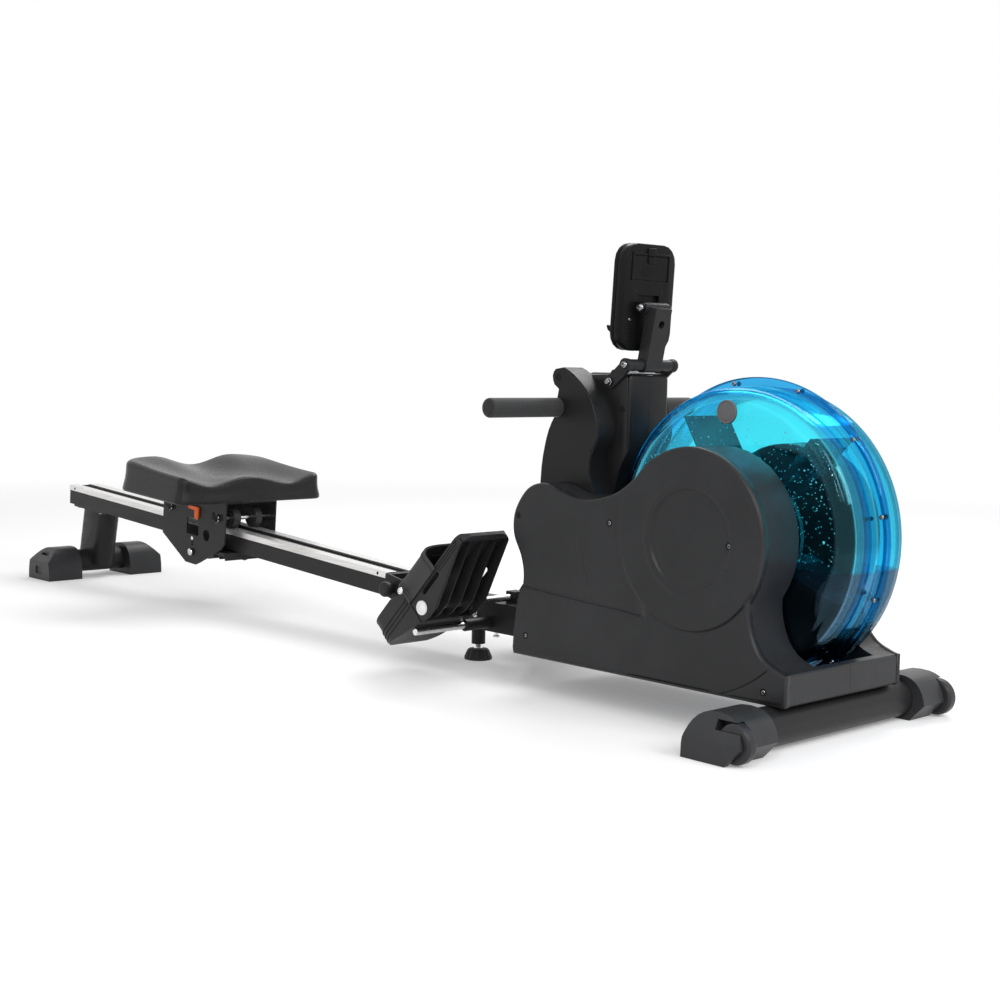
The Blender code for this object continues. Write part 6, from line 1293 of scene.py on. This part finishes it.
class ROWER_OT_carriage(bpy.types.Operator):
    """Adds the seat carriage's oval slots, keyhole, bolts and nuts, and builds its rollers"""
    bl_idname = "rower.carriage"
    bl_label = "Seat carriage"

    def execute(self, context):
        dark, bolts, steel, heads = (Shape() for _ in range(4))
        outer = CARRIAGE_HALF
        # Two slots beside each axle and a keyhole, near-black sheets of painted shade for their hollows, and the axles'
        # nuts
        for side, _ in SIDES:
            low, high = sorted((side * (outer - 0.0003), side * (outer + 0.0003)))
            for x, z in ((AXLES["front"], 0.0246), (AXLES["rear"], 0.0240)):
                for start in (x - 0.020, x + 0.0095):
                    slot = rectangle(start, start + 0.0105, z - 0.0075, z + 0.0075, 0.0050, 6)
                    dark.plate(slot, low, high, 0.0001, tilt=RAIL)
            key = rectangle(-0.6135, -0.6065, -0.050, -0.029, 0.0034, 6)
            dark.plate(key, low, high, 0.0001, tilt=RAIL)
            low, high = sorted((side * (outer + 0.0004), side * (outer + 0.0036)))
            for x in AXLES.values():
                heads.plate(hex_outline(x, AXLE_UP, 0.0094), low, high, 0.0006, tilt=RAIL)
        stud = [(0, 0.0012), (0.0036, 0.0012), (0.0042, 0.0006), (0.0042, 0), (0, 0)]
        steel.both_sides(stud, (GUIDE[0], outer, -0.0335), tilt=RAIL)
        bolts.both_sides(screw_profile(0.0078, 0.0042), (GUIDE[0], outer + 0.0031, GUIDE[1]), tilt=RAIL, steps=28)
        dark.piece("carriage_slots", "seat", "dark", slot="black_steel")
        bolts.piece("carriage_bolts", "seat", "chrome")
        heads.piece("axle_caps", "seat", "dark", slot="black_steel")
        steel.piece("carriage_stud", "seat", "chrome")
        # The rollers run on the rail's strips, and the guide below its beam: each profile is mirrored in its middle
        half = [(0.0210, 0.0080), (0.0175, 0.0080), (0.0165, 0.0068), (0.0120, 0.0068), (0.0110, 0.0080),
                (0.0053, 0.0080)]
        profile = round_corners([(r, -t) for r, t in half[::-1]] + half, 0.0012, 3)
        for end, x in AXLES.items():
            for side, label in SIDES:
                wheel = Shape().lathe(profile, placed((x, side * 0.026, AXLE_UP), RAIL), (0, 1, 0), 40)
                wheel.piece(f"wheel_{end}_{label}", end + "_rollers", "roller", f"roller_{end}_{label}")
        half = [(0.018, 0.0225), (0.0165, 0.024), (0.005, 0.024), (0.005, 0.065), (0, 0.065)]
        profile = round_corners([(r, -t) for r, t in half[::-1]] + half, 0.0008, 3, closed=False)
        guide = Shape().lathe(profile, placed((GUIDE[0], 0, GUIDE[1]), RAIL), (0, 1, 0), 36)
        guide.piece("guide_wheel", "guide_roller", "roller", "guide_roller")
        return {"FINISHED"}


class ROWER_OT_feet(bpy.types.Operator):
    """Builds the transport wheels and the levelling foot, and adds the bolts of the front foot"""
    bl_idname = "rower.feet"
    bl_label = "Feet and wheels"

    def execute(self, context):
        tyre = [(0.027, 0.006), (0.024, 0.009), (0.015, 0.009), (0.013, 0.007), (0.004, 0.008), (0.004, 0.014),
                (0, 0.014)]
        profile = round_corners([(r, -t) for r, t in tyre[::-1]] + tyre, 0.0012, 3, closed=False)
        for side, label in SIDES:
            wheel = Shape().lathe(profile, placed((WHEEL[0], side * WHEEL_Y, WHEEL[1])), (0, 1, 0))
            wheel.piece("transport_wheel_" + label, label + "_wheel", "roller", "wheel_" + label, slot="light_grey")
        thread = np.arange(0.0205, 0.0510, 0.0005)
        rod = np.column_stack([0.0047 - 0.0004 * (np.arange(len(thread)) % 2), thread])
        stem = Shape().lathe([(0, 0.0170), (0.0075, 0.0170), (0.0080, 0.0178), (0.0080, 0.0196), (0.0047, 0.0200),
                              *rod, (0, 0.0515)], placed((LEVELLER_X, 0, 0)), (0, 0, 1), 28)
        stem.piece("levelling_screw", "leveller", "chrome", smooth=60)
        # The rubber foot: a lathe whose rim is fluted twelve times round
        turn = np.linspace(0, 2 * math.pi, 96, endpoint=False)
        profile = round_corners([(0.0001, 0), (0.0236, 0), (0.024, 0.0004), (0.024, 0.0045), (0.0185, 0.0165),
                                 (0.0165, 0.0180), (0.0001, 0.0190)], 0.0010, 3, closed=False)
        ridge = 1 - 0.075 * (0.5 + 0.5 * np.cos(12 * turn))
        fluted = (profile[:, 0] > 0.010) & (profile[:, 1] > 0.0030)
        radius = np.where(fluted[:, None], profile[:, :1] * ridge[None, :], profile[:, :1])
        points = np.stack([LEVELLER_X + radius * np.cos(turn), radius * np.sin(turn),
                           np.broadcast_to(profile[:, 1:], radius.shape)], axis=-1)
        foot = Shape().grid(placed(points))
        foot.piece("levelling_foot", "leveller", "foam", "leveller_foot", smooth=35)
        bolts = Shape()
        for side, _ in SIDES:
            for x in (-0.012, 0.012):
                bolts.lathe(screw_profile(0.0052, 0.0038), placed((x, side * 0.1125, 0.0994)), (0, 0, 1), 24)
        bolts.both_sides(screw_profile(0.0062, 0.0042), (PEDAL[0] - 0.060, 0.0345, 0.085), (-0.545, 0.0345, 0.085))
        bolts.lathe([(0, 0.0165), (0.0050, 0.0165), (0.0055, 0.0158), (0.0055, 0.0140), (0.0030, 0.0132),
                     (0.0030, 0.0045), (0.0062, 0.0043), (0.0066, 0.0036), (0.0066, 0), (0, 0)],
                    placed((-0.667, -0.012, 0.0640)), (0, 0, -1), 24)
        bolts.piece("frame_bolts", "frame", "chrome")
        return {"FINISHED"}


# ---------------------------------------------------------------- stage

def lamp(name, place, aim, width, height, power):
    """A rectangular soft light that faces a point."""
    light = bpy.data.lights.new(name, "AREA")
    light.shape, light.size, light.size_y, light.energy = "RECTANGLE", width, height, power
    obj = bpy.data.objects.new(name, light)
    obj.location = place
    obj.rotation_euler = (Vector(aim) - Vector(place)).to_track_quat("-Z", "Y").to_euler()
    bpy.context.scene.collection.objects.link(obj)


# Each light's place, the point that it faces, its width, its height and its share of the key light's power
LAMPS = (
    ("key_light", (-0.6, 2.2, 2.9), (0.2, 0.0, 0.2), 3.0, 1.4, 1.0),
    ("front_light", (-0.2, -3.6, 2.2), (0.1, 0.0, 0.3), 3.0, 1.6, 0.20),
    ("right_light", (3.6, 0.3, 2.1), (0.8, 0.0, 0.2), 1.6, 1.4, 0.80),
    ("strip_light", (2.9, -1.5, 2.2), (0.9, 0.0, 0.35), 0.60, 1.8, 0.30),
    ("streak_light", (2.15, -2.14, 2.07), (0.8, -0.05, 0.33), 0.05, 2.2, 0.34),
)
CAMERA_PLACE = (2.29415, -1.827, 0.509)


class ROWER_OT_stage(bpy.types.Operator):
    """Sets the camera, the pale floor, the white surround and the soft lights"""
    bl_idname = "rower.stage"
    bl_label = "Stage"

    def execute(self, context):
        scene = context.scene
        s = scene.rower_stage
        self.camera(scene)
        half = 14.0
        points = np.array([(-half, -half, 0), (half, -half, 0), (half, half, 0), (-half, half, 0)])
        floor = Shape().add(points - (0, 0, 0.0002), [[0, 1, 2, 3]], np.zeros((4, 2))).make("floor")
        floor.data.materials.append(self.floor_finish(s))
        scene.world = self.surround(s)
        for name, place, aim, width, height, share in LAMPS:
            lamp(name, place, aim, width, height, s.key_power * share)
        scene.view_settings.view_transform = "Standard"
        return {"FINISHED"}

    def surround(self, s):
        """The even light from all round, and plain white for the camera, for mirrors and behind clear plastic."""
        w = Finish("surround", "worlds")
        camera, mirror, clear = (w.node("LightPath", output=f"Is {ray} Ray")
                                 for ray in ("Camera", "Glossy", "Transmission"))
        seen = camera.maths("MAXIMUM", camera.maths("MAXIMUM", camera, mirror), clear)
        light, white = (w.node("Background", None, {"Color": (1, 1, 1), "Strength": strength})
                        for strength in (s.sky, 1.0))
        return w.done(w.blend(seen, light, white))

    def floor_finish(self, s):
        """A pale painted floor with the faintest cloudiness, which fades into the white surround far away for the
        rays that see the surround white."""
        f = Finish("studio_floor")
        place = f.place()
        pale = tuple(s.floor_colour)
        paint = f.blend(f.noise(place, 1.3, 3.0), *(f.node("BsdfDiffuse", None, {"Color": tone})
                                                    for tone in (shade(pale, 0.992), pale)))
        far = f.node("VectorMath", {"operation": "LENGTH"}, {0: place}, output=1).above(1.9, 4.2)
        camera, mirror = (f.node("LightPath", output=f"Is {ray} Ray") for ray in ("Camera", "Glossy"))
        glow = f.node("Emission", None, {"Color": (1, 1, 1), "Strength": 1.0})
        return f.done(f.blend((far * 0.78 + 0.22) * camera.maths("MAXIMUM", camera, mirror), paint, glow))

    def camera(self, scene):
        """A long lens at knee height that looks back along the machine, a little down and rolled by a degree."""
        yaw, pitch, roll = (math.radians(a) for a in (136.9, 4.43, 1.04))
        ahead = Vector((math.cos(yaw) * math.cos(pitch), math.sin(yaw) * math.cos(pitch), -math.sin(pitch)))
        right = ahead.cross(Vector((0, 0, 1))).normalized()
        up = right.cross(ahead)
        sideways = right * math.cos(roll) + up * math.sin(roll)
        upwards = up * math.cos(roll) - right * math.sin(roll)
        camera = bpy.data.cameras.new("camera")
        camera.lens, camera.sensor_width, camera.shift_y, camera.clip_end = 56.84, 36.0, -0.013, 100.0
        obj = bpy.data.objects.new("camera", camera)
        turn = Matrix((sideways, upwards, -ahead)).transposed().to_4x4()
        obj.matrix_world = Matrix.Translation(CAMERA_PLACE) @ turn
        scene.collection.objects.link(obj)
        scene.camera = obj


# ---------------------------------------------------------------- add-on

SETTINGS = {"rower_finishes": RowerFinishSettings, "rower_edges": RowerEdgeSettings, "rower_seat": RowerSeatSettings,
            "rower_tank": RowerTankSettings, "rower_casing": RowerCasingSettings, "rower_stage": RowerStageSettings}
OPERATORS = (ROWER_OT_kept_nodes, ROWER_OT_seat_cushion, ROWER_OT_casing_panels, ROWER_OT_tank_shells,
             ROWER_OT_tank_water, ROWER_OT_foot_straps, ROWER_OT_foot_plates, ROWER_OT_handle, ROWER_OT_monitor,
             ROWER_OT_column, ROWER_OT_rail, ROWER_OT_carriage, ROWER_OT_feet, ROWER_OT_stage)


class ROWER_PT_panel(bpy.types.Panel):
    """Lists the machine's pieces and their sizes"""
    bl_label = "Rower"
    bl_idname = "ROWER_PT_panel"
    bl_space_type = "VIEW_3D"
    bl_region_type = "UI"
    bl_category = "Rower"

    def draw(self, context):
        for operator in OPERATORS:
            self.layout.operator(operator.bl_idname)
        for name, kind in SETTINGS.items():
            box = self.layout.box()
            for key in kind.__annotations__:
                box.prop(getattr(context.scene, name), key)


def register():
    for name, kind in SETTINGS.items():
        bpy.utils.register_class(kind)
        setattr(bpy.types.Scene, name, bpy.props.PointerProperty(type=kind))
    for kind in (*OPERATORS, ROWER_PT_panel):
        bpy.utils.register_class(kind)


def unregister():
    for kind in (ROWER_PT_panel, *reversed(OPERATORS)):
        bpy.utils.unregister_class(kind)
    for name, kind in SETTINGS.items():
        delattr(bpy.types.Scene, name)
        bpy.utils.unregister_class(kind)


def main():
    register()
    for operator in OPERATORS:
        group, name = operator.bl_idname.split(".")
        getattr(getattr(bpy.ops, group), name)()


if __name__ == "__main__":
    main()
